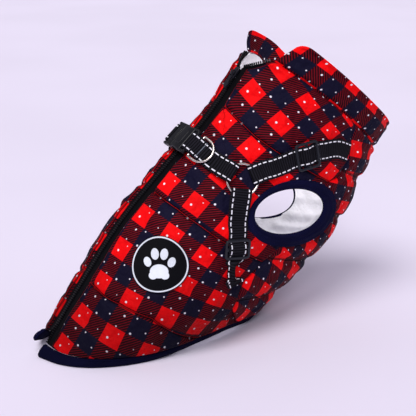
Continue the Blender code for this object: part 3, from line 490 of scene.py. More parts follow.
def back_relief(along, turn, side):
    """Height of a back panel's outer face over the form."""
    points = coat(along, turn)
    about = np.abs(turn)
    seams = sorted((quilt_along(places, about) for places in BACK_QUILT), key=lambda s: s.mean())
    relief = PUFF * puffed(along, seams)
    from_zip = past_zip(along, about)
    seam = seam_turn(np.clip(along, 0, 1), -1, side)
    from_seam = (seam - about) / degrees_per_mm(along, seam)
    relief *= smooth_step(from_seam, -2, 14) * 0.8 + 0.2
    relief += creased(points, side, 11) + 0.6 * ripple(points, 5 + side)
    for number, places in enumerate(BACK_QUILT):
        relief += stitched(points, strung(mirrored(places, side)), SEAM_DEPTH, SEAM_WIDTH, 30 + number)
    relief *= smooth_step(from_zip, -3, 5)
    relief += welt(from_zip, 1.5) - 0.9 * bell(from_zip, 1.6)
    return edged(relief, points, along, turn, from_seam, 2.6, 0.9, (side,))


def stitch_offset(along, turn):
    """Signed distance from a back panel's nearest stitching: a quilting seam or the zip's row."""
    about, rise = np.abs(turn), np.maximum(along_for(turn, 1), 1e-6)
    nearest_one = past_zip(along, about) - 2.4
    for places in BACK_QUILT:
        away = (along - quilt_along(places, about)) / rise * 0.93
        nearest_one = np.where(np.abs(away) < np.abs(nearest_one), away, nearest_one)
    return nearest_one


def belly_offset(along, turn):
    """Signed distance from the belly panel's nearest quilting seam."""
    rise = np.maximum(along_for(turn, 1), 1e-6)
    away = np.stack([along - place - bend * np.abs(turn - 180) / 90
                     for place, bend in BELLY_QUILT]) / rise
    return np.take_along_axis(away, np.abs(away).argmin(0)[None], 0)[0]


def belly_relief(along, turn):
    """Height of the belly panel's outer face over the form."""
    points = coat(along, turn)
    spread = np.abs(turn - 180) / 90
    seams = [place + bend * spread for place, bend in BELLY_QUILT]
    relief = 2.2 * puffed(along, seams, 0.7)
    relief += 0.6 * (creased(points, 1, 13) + creased(points, -1, 14) + ripple(points, 21))
    for number, (place, bend) in enumerate(BELLY_QUILT):
        turns = np.linspace(96, 264, 60)
        line = strung(np.column_stack([place + bend * np.abs(turns - 180) / 90, turns]))
        relief += stitched(points, line, BELLY_SEAM_DEPTH, BELLY_SEAM_WIDTH, 40 + number)
    about = np.abs(folded(turn))
    seam = seam_turn(np.clip(along, 0, 1), 1, folded(turn))
    from_seam = (about - seam) / degrees_per_mm(along, seam)
    relief *= smooth_step(from_seam, -3, 12) * 0.85 + 0.15
    return edged(relief, points, along, turn, from_seam, 2.4, 0.8, (1, -1))


# ---- meshes from grids
def linked(name, data):
    """A new object of the scene."""
    made = bpy.data.objects.new(name, data)
    bpy.context.scene.collection.objects.link(made)
    return made


def cell_corners(kept):
    """Row and column numbers of the four corners of a grid's kept cells."""
    r, c = np.nonzero(kept)
    return np.stack([r, r + 1, r + 1, r], -1), np.stack([c, c, c + 1, c + 1], -1)


def mesh_object(name, points, quads, corners_uv, smooth_angle=50, stitching=None):
    """A mesh object in metres from points in millimetres and quads, with a UV map given corner by
    corner, and the distance from the stitching as an attribute."""
    used, quads = np.unique(quads, return_inverse=True)
    points, quads, corners_uv = outward_quads(
        (np.asarray(points, float)[used] * MM, quads.reshape(-1, 4), corners_uv))
    mesh = bpy.data.meshes.new(name)
    mesh.vertices.add(len(points))
    mesh.vertices.foreach_set("co", points.astype(np.float32).ravel())
    mesh.loops.add(quads.size)
    mesh.loops.foreach_set("vertex_index", quads.astype(np.int32).ravel())
    mesh.polygons.add(len(quads))
    mesh.polygons.foreach_set("loop_start", (np.arange(len(quads)) * 4).astype(np.int32))
    mesh.update(calc_edges=True)
    layer = mesh.uv_layers.new(name="flat")
    layer.data.foreach_set("uv", (np.asarray(corners_uv, float) * MM).astype(np.float32).ravel())
    if stitching is not None:
        away = mesh.attributes.new("stitching", "FLOAT", "POINT")
        values = stitching.ravel()[used % stitching.size] * MM
        away.data.foreach_set("value", values.astype(np.float32))
    mesh.validate()
    mesh.shade_smooth()
    mesh.set_sharp_from_angle(angle=math.radians(smooth_angle))
    return linked(name, mesh)


def shell_parts(outer, inner, uv, closed=False, keep=None):
    """Points, quads and corner UVs of a closed wall between two grids of points, rows by columns.
    closed joins the last row to the first, and uv then has one row more. keep says which cells stay:
    every edge that only one kept cell has gets a rim quad."""
    rows, columns = outer.shape[:2]
    count = rows * columns
    cells = (rows if closed else rows - 1, columns - 1)
    r4, c4 = cell_corners(np.ones(cells) if keep is None else keep)
    quads, quad_uv = (r4 % rows) * columns + c4, uv[r4, c4]
    start, end = quads.ravel(), np.roll(quads, -1, 1).ravel()
    start_uv, end_uv = quad_uv.reshape(-1, 2), np.roll(quad_uv, -1, 1).reshape(-1, 2)
    lone = ~np.isin(start * count + end, end * count + start)
    p, q = start[lone], end[lone]
    rims = np.stack([q, p, p + count, q + count], -1)
    rim_uv = np.stack([end_uv[lone], start_uv[lone], start_uv[lone], end_uv[lone]], 1)
    points = np.concatenate([outer.reshape(-1, 3), inner.reshape(-1, 3)])
    return (points, np.concatenate([quads, quads[:, ::-1] + count, rims]),
            np.concatenate([quad_uv, quad_uv[:, ::-1], rim_uv]))


def shell(name, outer, inner, uv, keep=None, closed=False, smooth_angle=50, stitching=None):
    return mesh_object(name, *shell_parts(outer, inner, uv, closed, keep), smooth_angle, stitching)


def tube_parts(rings, closed=True):
    """Points, quads and UVs of a tube: rings has one row of points for each cross-section. An open
    tube's ends are closed by strips of quads between opposite points."""
    rows, sides = rings.shape[:2]
    r4, c4 = cell_corners(np.ones((rows if closed else rows - 1, sides)))
    quads = (r4 % rows) * sides + c4 % sides
    girth = np.linalg.norm(rings[0, 0] - rings[0, sides // 2]) * np.pi
    quad_uv = np.stack([travelled(rings[:, 0], True)[r4], c4 * girth / sides], -1)
    points = rings.reshape(-1, 3)
    if closed:
        return outward_quads((points, quads, quad_uv))
    ends, end_uv = [], []
    for row, way in ((0, 1), (rows - 1, -1)):
        k = np.arange(0, sides // 2 - 1)
        strip = np.stack([k, k + 1, sides - 2 - k, sides - 1 - k], -1)
        strip = strip[:, ::-1] if way < 0 else strip
        ends.append(row * sides + strip)
        flat = rings[row] - rings[row].mean(0)
        axes = np.linalg.svd(flat)[2]
        end_uv.append((flat @ axes[:2].T)[strip])
    return outward_quads((points, np.concatenate([quads, *ends]), np.concatenate([quad_uv, *end_uv])))


def joined(parts):
    """Several (points, quads, UVs) as one."""
    points, quads, uv = zip(*parts)
    shift = np.cumsum([0] + [len(p) for p in points[:-1]])
    return (np.concatenate(points), np.concatenate([q + s for q, s in zip(quads, shift)]),
            np.concatenate(uv))


def outward_quads(parts):
    """The same part, its quads turned round if the volume that they enclose comes out negative."""
    points, quads, uv = parts
    a, b, c, d = (points[quads[:, k]] for k in range(4))
    volume = (np.einsum("ij,ij->i", a, np.cross(b, c)) + np.einsum("ij,ij->i", a, np.cross(c, d))).sum()
    return (points, quads[:, ::-1], uv[:, ::-1]) if volume < 0 else parts


def frame_axes(origin, x_axis, z_axis):
    """Origin, and x, y, z directions square to each other, as rows."""
    z = unit(np.asarray(z_axis, float))
    x = np.asarray(x_axis, float)
    x = unit(x - z * np.dot(x, z))
    return np.asarray(origin, float), np.stack([x, np.cross(z, x), z])


def placed(axes, local):
    """Points given in a frame's own x, y, z."""
    return axes[0] + np.asarray(local, float) @ axes[1]


def round_rectangle(half_x, half_y, corner, steps=6):
    """Corner points of a rectangle with quarter-circle corners, in order."""
    corner = min(corner, half_x * 0.999, half_y * 0.999)
    angle = np.linspace(0, np.pi / 2, steps)
    quarter = corner * np.stack([np.cos(angle), np.sin(angle)], -1)
    turns = np.array([[[1, 0], [0, 1]], [[0, 1], [-1, 0]], [[-1, 0], [0, -1]], [[0, -1], [1, 0]]])
    middles = np.array([[1, 1], [-1, 1], [-1, -1], [1, -1]]) * [half_x - corner, half_y - corner]
    return np.concatenate([quarter @ t + m for t, m in zip(turns, middles)])


def swept(path, up, section, closed=True):
    """A cross-section (sideways, upward) carried along a path. Sideways is square to the path and to
    up."""
    ahead = (np.roll(path, -1, 0) - np.roll(path, 1, 0)) if closed else np.gradient(path, axis=0)
    ahead = unit(ahead)
    sideways = unit(np.cross(ahead, up))
    lift = np.cross(sideways, ahead)
    return (path[:, None] + section[None, :, :1] * sideways[:, None]
            + section[None, :, 1:] * lift[:, None])


def evenly(corners, count):
    """Points at even steps along a line of corners."""
    hops = travelled(corners)
    at = np.linspace(0, hops[-1], count)
    return np.stack([np.interp(at, hops, corners[:, k]) for k in range(corners.shape[1])], -1)


def circle(radius, sides):
    angle = np.arange(sides) * 2 * np.pi / sides
    return radius * np.stack([np.cos(angle), np.sin(angle)], -1)


def stacked(outlines):
    """Flat outlines, each with its height, as rings."""
    return np.stack([np.column_stack([line, np.full(len(line), z)]) for line, z in outlines])


def block_parts(axes, lows, highs, edge, steps=3):
    """A block with rounded edges between two corners in a frame's axes: round rectangles stacked from
    bottom to top, whose inset and height follow a quarter circle at both ends."""
    ends = np.array([lows, highs], float)
    middle, half = ends.sum(0) / 2, np.ptp(ends, axis=0) / 2
    edge = min(edge, *(half * 0.95))
    angle = np.linspace(0, np.pi / 2, steps + 1)
    inset, rise = edge * (1 - np.sin(angle)), edge * (1 - np.cos(angle))
    levels = [*zip(inset, rise - half[2]), *zip(inset[::-1], (half[2] - rise)[::-1])]
    rings = stacked((round_rectangle(half[0] - i, half[1] - i, edge * 1.2, steps + 1), z)
                    for i, z in levels)
    return tube_parts(placed(axes, rings + middle), closed=False)


# ---- cloth pieces
def back_cloth(side, columns, step, outer, inner, trim, relief):
    """Outer and inner grids and flat places of a back panel or its lining."""
    def first(rows):
        return zip_edge(rows) + trim * degrees_per_mm(rows, 10)

    def last(rows):
        edge = seam_turn(rows, -1, side)
        return edge - (GAP / 2 + trim) * degrees_per_mm(rows, edge)

    along, turn = panel_places(first, last, columns, side, step)
    return (coat(along, turn, outer + relief(along, turn, side)), coat(along, turn, inner),
            flattened(coat(along, turn), 0), stitch_offset(along, turn))


def belly_cloth(columns, step, outer, inner, trim):
    """Outer and inner grids and flat places of the belly panel or its lining."""
    def edge(rows, side=1):
        turn = seam_turn(rows, 1, side)
        return turn + (GAP / 2 + trim) * degrees_per_mm(rows, turn)

    along, turn = panel_places(edge, lambda rows: 360 - edge(rows, -1), columns, 1, step)
    return (coat(along, turn, outer(along, turn)), coat(along, turn, inner(along, turn)),
            flattened(coat(along, turn), 180), belly_offset(along, turn))


# folds of the belly's lining, on both sides: both ends, height and half width
LINING_FOLDS = [
    (0.562, 140, 0.61, 168, 5.5, 5.5), (0.65, 136, 0.69, 162, 3, 3.6), (0.49, 140, 0.52, 158, 4, 4),
    (0.52, 160, 0.57, 165, 4, 3.6)]


def lining_face(along, turn):
    """Height of the lining's inner face: gathers at the quilting seams, folds that are bell curves
    across lines, and ripples."""
    points = coat(along, turn)
    folds = 1.2 * ripple(points, 77, 30, 10) + 1.2 * ripple(points, 78, 60, 24)
    seams = sum(bell(along, 0.018, place) for place, _ in BELLY_QUILT)
    edge = smooth_step(along, 0, 0.05) * smooth_step(1 - along, 0, 0.05)
    for *ends, high, half in LINING_FOLDS:
        for side in (1, -1):
            far, _ = nearest(points, strung(mirrored(zip(ends[::2], ends[1::2]), side), 1))
            folds += high * bell(far, half)
    return -edge * (np.maximum(folds + 0.6, 0) - 0.3 * np.minimum(seams, 1))


def edge_thinning(share, reach=0.06):
    """Share of the full thickness near both edges of a band: a quarter circle over reach."""
    near = np.minimum(share, 1 - share)
    t = np.clip(near / reach, 0, 1)
    return np.sqrt(np.maximum(1 - (1 - t) ** 2, 0)) * 0.94 + 0.06


def collar_grids():
    """The collar's outer and inner faces and flat places (round, up). Each turn's line goes from just
    inside the neck seam along the table's lean; the wall bows out by half a sine wave, with gathers at
    the seam, soft waves and a rolled rim."""
    turns = np.linspace(NECK_END, 360 - NECK_END, 241)
    side, about = np.where(turns <= 180, 1, -1), np.minimum(turns, 360 - turns)
    reach = np.where(side[:, None] > 0, smooth_rows(about, COLLAR), smooth_rows(about, FAR_COLLAR))
    foot = coat(1, turns)
    lean = np.stack([reach[:, 0], -side * reach[:, 1], reach[:, 2]], -1)
    length = np.linalg.norm(lean, axis=1, keepdims=True)
    share = 0.5 - 0.5 * np.cos(np.linspace(0, np.pi, 33))
    rise = share * (1 + COLLAR_TUCK) - COLLAR_TUCK
    run = travelled(foot + lean * 0.5)
    end, corner = np.minimum(run, run[-1] - run), np.where(side > 0, *COLLAR_CORNERS)
    away = corner - np.minimum(end, corner)
    top = 1 - (corner - np.sqrt(corner**2 - away**2))[:, None] * 0.6 / length
    centre = foot[:, None] + (lean * top)[:, None] * rise[:, None]
    out = unit(np.cross(np.gradient(centre, axis=0), (lean / length)[:, None]))
    bow, high = COLLAR_BOW * np.sin(np.pi * rise), rise * COLLAR_HEIGHT
    gather = np.sin(run * 2 * np.pi / 9.1) + 0.7 * np.sin(run * 2 * np.pi / 14.3 + 1)
    relief = 0.35 * gather[:, None] * bell(high, 5)
    relief += 1.3 * ripple(centre, 91, 60, 16) * np.sin(np.pi * rise)
    relief = relief + 1.3 * bell(high, 3, 4.5) + 1.1 * np.sin(np.pi * np.clip(rise, 0, 1)) ** 0.6
    relief -= bell((rise - 0.86) * COLLAR_HEIGHT, 1.8)
    relief += 0.5 * bell((rise - 0.95) * COLLAR_HEIGHT, 2.2)
    relief *= smooth_step(end[:, None], 0, 7)
    thin = edge_thinning(share, 0.05) * edge_thinning(np.linspace(0, 1, len(run)), 0.006)[:, None]
    half = COLLAR_WALL / 2
    outer, inner = (centre + out * (bow - half + face * thin)[..., None]
                    for face in (half + relief, -half))
    return outer, inner, grid_places(run, rise * top * length)


def hem_turns(per_part):
    """Turns round the hem from one zip end to the other."""
    seam = SIDE_SEAM[0, 1]
    back = np.linspace(float(turn_for(0, HEM_END)), seam, per_part + 1)
    belly = np.linspace(seam, 360 - seam, per_part + 1)
    return folded(np.concatenate([back[:-1], belly, 360 - back[-2::-1]]))


def tail_height(turns):
    """Height of the hem's lower edge at the drawn-up far tail corner."""
    raised = coat(0, turns)[:, 2] - hem_lift(0, turns)
    return np.where(tail_share(turns) > 0, np.maximum(raised, 0), 0)


def hem_grids():
    """The hem's knit edging: a band round the edge of the cloth. Its outer face swells by a power of
    half a sine wave, with a stitched groove, and both its edges are round."""
    turns = hem_turns(90)
    share = 0.5 - 0.5 * np.cos(np.linspace(0, np.pi, 21))
    along = along_for(turns, hem_height(turns))[:, None] * share
    turn = np.broadcast_to(turns[:, None], along.shape)
    run = travelled(coat(0.02, turns))
    thin, ends = edge_thinning(share, 0.16), edge_thinning(run / run[-1], 0.005)[:, None]
    groove = 0.55 * bell((share - 0.74) * HEM_BAND, 0.7)
    wave = 0.35 * ripple(coat(along, turn), 17, 40, 12)
    high = EDGING_PROUD + np.sin(np.pi * share) ** 0.7 - groove + wave * np.sin(np.pi * share)
    low = -PANEL - GAP - LINING - EDGING_PROUD
    middle = (EDGING_PROUD + low) / 2
    flick = (6 * bell(run[-1] - run, 7) + 3.5 * bell(run, 9))[:, None]
    outer, inner = (coat(along, turn, middle + (face - middle) * thin * ends + flick)
                    for face in (high, low))
    floor = hem_lift(0, turns) + tail_height(turns)
    drop = (outer[:, :1, 2] + inner[:, :1, 2]) / 2 - floor[:, None]
    settle = np.clip(1 - share / 0.5, 0, 1) ** 2
    for grid in (outer, inner):
        grid[..., 2] = np.maximum(grid[..., 2] - drop * settle, floor[:, None])
    return outer, inner, grid_places(run, share * HEM_BAND)


def arm_grids(side):
    """An armhole's knit edging, from its seam in to the opening: a ring whose outer face swells, has a
    stitched groove, and rolls in at the opening, where both faces meet."""
    angle = np.arange(160) * np.pi / 80
    (outer_along, outer_turn), (inner_along, inner_turn) = (
        (a - half_a * np.cos(angle), t + half_t * np.sin(angle + lean))
        for a, half_a, t, half_t, lean in ARM_EDGES[side])
    share = 0.5 - 0.5 * np.cos(np.linspace(0, np.pi, 23))
    along = outer_along[:, None] + (inner_along - outer_along)[:, None] * share
    turn = side * (outer_turn[:, None] + (inner_turn - outer_turn)[:, None] * share)
    swell = np.interp(share, [0, 0.12, 0.5, 0.85, 1], [0.3, 1.1, 1.5, 0.5, -1.2])
    groove = 0.75 * bell(share, 0.05, 0.62) + 0.3 * bell(share, 0.05, 0.3)
    wave = 0.3 * ripple(coat(along, turn), 31 + side, 30, 10) * np.sin(np.pi * share)
    depth = np.interp(share, [0, 0.5, 1], [-PANEL - GAP - LINING, -PANEL - GAP - LINING - 0.8, -3.2])
    middle = (swell + depth) / 2
    thin = edge_thinning(share, 0.1)
    outer = coat(along, turn, middle + (swell - groove - middle) * thin + wave)
    inner = coat(along, turn, middle + (depth - middle) * thin)
    form = coat(along, turn)
    across = np.linalg.norm(form - form[:, :1], axis=-1).mean(0)
    return outer, inner, grid_places(travelled(outer[:, 8], True), across)


# ---- zip
def zip_grids(side, first, last, outer, inner, rows, columns):
    """A strip beside the zip's middle line, between two distances from it."""
    rows = rows[:, None]
    across = np.linspace(first, last, columns)[None, :]
    turn = zip_turn(rows, across, side)
    along = lifted(np.broadcast_to(rows, turn.shape), turn)
    uv = grid_places(travelled(coat(along, turn)[:, 0]), across)
    return coat(along, turn, outer), coat(along, turn, inner), uv


TOOTH_PITCH = 2.3
TAPE_UNDER = 1            # how far a tape goes on under the panel's edge


def teeth_parts(side):
    """One side's zip teeth, small bars across the zip with round heads, at even steps along it, half a
    step apart from the other side's. Above the slider they follow the open edge."""
    rows = np.linspace(0, 0.998, 900)

    def line(rows, across=1):
        turn = zip_turn(rows, across, side)
        return lifted(rows, turn), turn

    run = travelled(coat(*line(rows)))
    at = np.arange(1 + (0.5 if side < 0 else 0) * TOOTH_PITCH, run[-1] - 0.8, TOOTH_PITCH)
    place = np.interp(at, run, rows)
    place = place[(place < ZIP_OPEN - 0.016) | (place > ZIP_OPEN + 0.03)]
    origin, out = coat(*line(place)), outward(*line(place))
    ahead = unit(coat(*line(place + 0.001)) - coat(*line(place - 0.001)))
    across = unit(np.cross(ahead, out))
    across *= np.sign((across * (coat(*line(place, 3)) - origin)).sum(1))[:, None]
    # a tooth's outline from its head (toward the middle line) to its root
    outline = np.array([(-1.9, 0), (-1.7, 0.55), (-1, 0.72), (-0.3, 0.5), (1.5, 0.55),
                        (1.5, -0.55), (-0.3, -0.5), (-1, -0.72), (-1.7, -0.55)])
    outline = np.concatenate([outline, outline[-1:] * [1, 0.5]])
    levels = [(-1.3, 0.9), (0.15, 1), (0.62, 0.72)]
    base = tube_parts(stacked((outline * [1 if z < 0.3 else 0.93, k], z) for z, k in levels),
                      closed=False)
    local = base[0]
    points = origin[:, None] + sum(local[None, :, k:k + 1] * way[:, None]
                                   for k, way in enumerate((across, ahead, out)))
    count = len(local)
    quads = (base[1][None] + (np.arange(len(place)) * count)[:, None, None]).reshape(-1, 4)
    uv = np.tile(base[2], (len(place), 1, 1))
    return outward_quads((points.reshape(-1, 3), quads, uv))


def slider_axes():
    """Frame on the zip at the slider: x up the zip, z out of the coat."""
    ahead = coat(ZIP_OPEN + 0.01, 0) - coat(ZIP_OPEN - 0.01, 0)
    return frame_axes(coat(ZIP_OPEN, 0), ahead, outward(ZIP_OPEN, 0))


def slider_parts():
    """Slider: a body whose outline is wide at the open end, a thinner top plate, and an arch over it
    that the pull hangs from."""
    axes = slider_axes()
    x = np.linspace(-5, 8, 19)
    half = 2.8 + 1.4 * smooth_step(x, -3.5, 5)
    half = half * np.sqrt(np.clip(1 - ((np.abs(x - 1.5) - 5.5) / 1.25).clip(0) ** 2, 0.05, 1))
    outline = np.concatenate([np.column_stack([x, half]), np.column_stack([x[::-1], -half[::-1]])])
    rings = stacked((outline * k, z) for z, k in
                    ((-0.5, 0.86), (-0.2, 0.95), (0.5, 0.98), (0.62, 0.88), (1.2, 0.88),
                     (1.35, 1), (1.95, 0.98), (2.25, 0.93), (2.4, 0.84)))
    body = tube_parts(placed(axes, rings), closed=False)
    angle = np.linspace(0, np.pi, 17)
    path = np.column_stack([1 + 2.2 * np.cos(angle), np.zeros(17), 2.1 + 3.5 * np.sin(angle) ** 0.8])
    arch = swept(placed(axes, path), axes[1][1], round_rectangle(0.5, 1, 0.4, 3), closed=False)
    return joined([body, tube_parts(arch, closed=False)])


PULL_THICK, PULL_DROOP = 1.2, 3


def pull_grids():
    """Pull tab: a flat tongue with a window at the pin, a waist, a round end with a raised border, and
    grip ribs. Rows run down it; the faces are closer together at the edges."""
    axes = slider_axes()
    droop = math.radians(PULL_DROOP)
    down = -axes[1][0] * math.cos(droop) - axes[1][2] * math.sin(droop)
    across = np.cross(axes[1][2], axes[1][0])
    place = frame_axes(placed(axes, [1, 0, 3.8]), down, np.cross(down, across))
    x = np.concatenate([[-0.6, 0, 0.6], np.linspace(0.6, 4, 6)[1:], np.linspace(4, 13, 14)[1:],
                        13 + 3.93 * np.sin(np.linspace(0, np.pi / 2, 10))[1:]])
    half = np.interp(x, [-0.6, 4, 8, 12, 13], [2.9, 2.75, 2.6, 3.7, 4])
    half = np.where(x > 13, np.sqrt(np.maximum(16 - (x - 13) ** 2, 0.3)), half)
    inside = np.minimum(1.5, half * 0.5)
    y = np.concatenate([-inside[:, None] - (half - inside)[:, None] * np.array([1, 0.6, 0]),
                        inside[:, None] * np.array([-0.5, 0, 0.5]),
                        inside[:, None] + (half - inside)[:, None] * np.array([0, 0.6, 1])], 1)
    edge = np.abs(y) / half[:, None]
    thick = PULL_THICK / 2 * np.where(edge > 0.98, 0.45, 1) * np.where(x > 16.5, 0.6, 1)[:, None]
    ribs = 0.16 * np.sin((x - 6.5) * 2 * np.pi / 1.7)[:, None] * ((x > 7) & (x < 14))[:, None]
    border = 0.22 * smooth_step(edge, 0.62, 0.85) * (x > 5)[:, None]
    high = thick + ribs * (edge < 0.6) + border
    local = np.stack([np.broadcast_to(x[:, None], y.shape), y, high], -1)
    cell_x, cell = (x[:-1] + x[1:]) / 2, np.arange(8)
    keep = ~(((cell_x > 0.6) & (cell_x < 4))[:, None] & (cell >= 2) & (cell <= 5))
    return placed(place, local), placed(place, local * [1, 1, -1]), local[..., :2].copy(), keep


# ---- harness
class Route:
    """A webbing route over the coat, in mm from its start: a smooth curve through (along, turn) points
    laid on the form."""

    def __init__(self, points, side):
        table = measured(points)
        along, turn = smooth_rows(np.linspace(0, table[-1, 0], ROUTE_STEPS), table).T
        self.line, self.out = coat(along, side * turn), outward(along, side * turn)
        self.distance = travelled(self.line)
        self.length = self.distance[-1]
        self.ahead = np.gradient(self.line, self.distance, axis=0)

    def read(self, values, distance):
        inside = np.clip(np.asarray(distance, float), 0, self.length)
        return np.stack([np.interp(inside, self.distance, values[:, k]) for k in range(3)], -1)

    def straighten(self, origin, ahead, out, at, half, fade):
        """Makes the route straight and flat near a hard piece: within half of at it lies in the plane
        through origin, and it fades back over fade."""
        ahead = ahead / np.linalg.norm(ahead)
        share = smooth_step(half + fade - np.abs(self.distance - at), 0, fade)[:, None]
        flat = origin + (self.distance - at)[:, None] * ahead
        self.line = self.line + (flat - self.line) * share
        self.out = self.out + (out - self.out) * share
        self.ahead = self.ahead + (ahead - self.ahead) * share

    def axes(self, distance):
        """Place, and unit directions ahead, across and out, at a distance."""
        ahead, out = self.read(self.ahead, distance), self.read(self.out, distance)
        across = unit(np.cross(out, ahead))
        out = unit(np.cross(ahead, across))
        return self.read(self.line, distance), np.cross(across, out), across, out

    def place(self, distance, across, height):
        """A point so far along, so far across and so high over the cloth. Past its ends the route goes
        on straight."""
        distance = np.asarray(distance, float)
        past = distance - np.clip(distance, 0, self.length)
        here, forward, sideways, out = self.axes(distance)
        return (here + forward * past[..., None]
                + sideways * np.asarray(across, float)[..., None]
                + out * np.asarray(height, float)[..., None])

    def frame(self, distance, height):
        here, forward, _, out = self.axes(distance)
        return frame_axes(here + out * height, forward, out)


def buckle_axes():
    along = BACK_STRAP[-1][0]
    return coat(along, 0), outward(along, 0)


def buckle_bar():
    """Distance of the end bar's middle from the zip, and its height over it."""
    return BUCKLE["half"] - BUCKLE["bar"] / 2, BUCKLE["base"] + BUCKLE["thick"] / 2


def routes(side):
    """The back, chest and belly routes of one side, and the back route's distance to the buckle's
    bar."""
    back = Route(BACK_STRAP, side)
    origin, out = buckle_axes()
    from_zip, high = buckle_bar()
    end = back.length - from_zip
    bar = origin + np.array([0, -side * from_zip, 0]) + out * high
    landing = end - D_RING["reach"] - 10
    ahead = bar - back.place(landing, 0, high)
    ahead /= np.linalg.norm(ahead)
    out = out + back.axes(landing)[3]
    out -= ahead * np.dot(out, ahead)
    out /= np.linalg.norm(out)
    back.straighten(bar - out * high, ahead, out, end, BUCKLE_FLAT, BUCKLE_FADE)
    chest, belly = Route(CHEST_STRAP, side), Route(BELLY_STRAP, side)
    ring = RING_AT[0], side * RING_AT[1]
    middle, out = coat(*ring), outward(*ring)
    for route in (back, chest, belly):
        toward = route.place(RING_RADIUS, 0, 0) - middle
        toward -= out * np.dot(toward, out)
        route.straighten(middle, toward, out, 0, RING_FLAT, RING_FADE)
    for route, at in ((chest, CHEST_SLIDE[0]), (belly, BELLY_SLIDE[0])):
        origin, ahead, _, out = route.axes(at)
        route.straighten(origin, ahead, out, at, SLIDE_FLAT, SLIDE_FADE)
    return back, chest, belly, end


def half_turn(centre, reach, rise, start, steps=12):
    """Points of half an ellipse, from an angle on, in (distance, height)."""
    angles = start + np.pi * np.arange(steps + 1) / steps
    return [(centre[0] + reach * math.cos(a), centre[1] + rise * math.sin(a)) for a in angles]


def ring_fold():
    """Webbing that comes to the ring on top, goes round its wire and back."""
    over = RING_HEIGHT + RING_WIRE + GAP + WEB_THICK / 2
    bend = (over - REST) / 2
    points = [(RING_RADIUS + 13, DOUBLE), (RING_RADIUS + 7, DOUBLE + 0.4),
              (RING_RADIUS + 2.6, over), (RING_RADIUS - 1.5, over)]
    points += half_turn((FOLD + bend, REST + bend), bend, bend, math.pi / 2)[1:]
    return points + [(RETURN, REST)]


def sewn_profile(route, at, long):
    """Profile (distance, height) of a chest or belly strap: from its sewn end under the slide's outer
    bars, over its middle bar, and to the ring."""
    over, half = SLIDE["height"] + SLIDE["thick"] + GAP + WEB_THICK / 2, long / 2
    return ([(route.length - 1, REST), (at + half, REST), (at + 7.4, REST), (at + 2.8, over),
             (at - 2.8, over), (at - 7.4, REST), (at - half, REST), (RETURN + 8, REST),
             (RETURN + 2, DOUBLE)] + ring_fold())


def back_profile(end):
    """Profile of a back strap: from the buckle's bar, round it, and double to the ring, with room for
    the D-ring's bar between its layers."""
    _, bar = buckle_bar()
    loop = BUCKLE["bar"] / 2 + 3 * GAP + WEB_THICK / 2
    spread = D_RING["wire"] + 2 * GAP + WEB_THICK / 2 + 0.2
    points = [(RETURN + 1, REST), (end - 20, REST), (end - 13, REST + 0.5),
              (end - D_BAR_BEFORE, D_BAR_HEIGHT - spread), (end, bar - loop)]
    points += half_turn((end, bar), loop + 2 * GAP, loop, -math.pi / 2)[1:]
    points += [(end - D_BAR_BEFORE, D_BAR_HEIGHT + spread), (end - 13, DOUBLE + 1.6),
               (end - 20, DOUBLE + 0.3), (end - 26, DOUBLE)]
    return points + ring_fold()


def webbing_grids(route, profile, pinch=None, step=1.1):
    """Webbing that follows a profile: resampled evenly, its corners eased by a running mean, half a
    thickness to each side, a little thinner toward its edges. From the distance pinch to its sewn end
    it is folded lengthwise into a ridge: both halves stand up by the same angle, and the ridge lies
    toward one side."""
    profile = np.array(profile, float)
    fine = evenly(profile, int(travelled(profile)[-1] / step) + 1)
    eased = np.concatenate([fine[:1], (fine[:-2] + 2 * fine[1:-1] + fine[2:]) / 4, fine[-1:]])
    ahead = unit(np.gradient(eased, axis=0))
    normal = np.stack([-ahead[:, 1], ahead[:, 0]], -1)
    across = WEB / 2 * np.array([-1, -0.965, -0.88, -0.72, -0.5, -0.25, 0,
                                 0.25, 0.5, 0.72, 0.88, 0.965, 1])
    half = WEB_THICK / 2 * np.sqrt(np.clip(1.06 - np.abs(across / WEB * 2) ** 14, 0.06, 1))
    fold, here = np.zeros((len(eased), 1)), eased[:, :1]
    if pinch is not None:
        fold = 1.3 * smooth_step(here, pinch, pinch + 7) * smooth_step(route.length - here, 3, 12)
    ridge = (WEB / 2 - np.sqrt(across**2 + 1)).clip(0) * np.sin(fold)
    lean = np.clip(across / 1.5, -1, 1) * np.sin(fold)

    def face(way):
        places = eased[:, None] + way * normal[:, None] * half[None, :, None]
        aside = across * np.cos(fold) + way * half * lean - 5.5 * np.sin(fold)
        return route.place(places[..., 0], aside, places[..., 1] + ridge)

    return face(1), face(-1), grid_places(travelled(eased), across)


def carried(axes, outline, section):
    """A cross-section carried round a closed outline in a frame's x and y."""
    path = placed(axes, stacked([(outline, 0)])[0])
    return tube_parts(swept(path, axes[1][2], section))


def slide_parts(route, at, long):
    """Three-bar slide: a rounded cross-section carried round a rounded outline, and a bar across its
    middle."""
    axes = route.frame(at, SLIDE["height"] + SLIDE["thick"] / 2)
    half, bar, thick = long / 2, SLIDE["bar"] / 2, SLIDE["thick"] / 2
    outline = round_rectangle(half - bar, SLIDE["across"] / 2 - bar, 2.2, 7)
    ring = carried(axes, outline, round_rectangle(bar, thick, 0.6, 4))
    middle = block_parts(axes, (-SLIDE["middle"], -SLIDE["across"] / 2 + 1.4, -thick),
                         (SLIDE["middle"], SLIDE["across"] / 2 - 1.4, thick), 0.55)
    return joined([ring, middle])


def junction_ring_parts(side):
    """Round wire ring: a circle carried round a circle."""
    at = RING_AT[0], side * RING_AT[1]
    axes = frame_axes(coat(*at, RING_HEIGHT), (1, 0, 0), outward(*at))
    return carried(axes, circle(RING_RADIUS, 96), circle(RING_WIRE, 16))


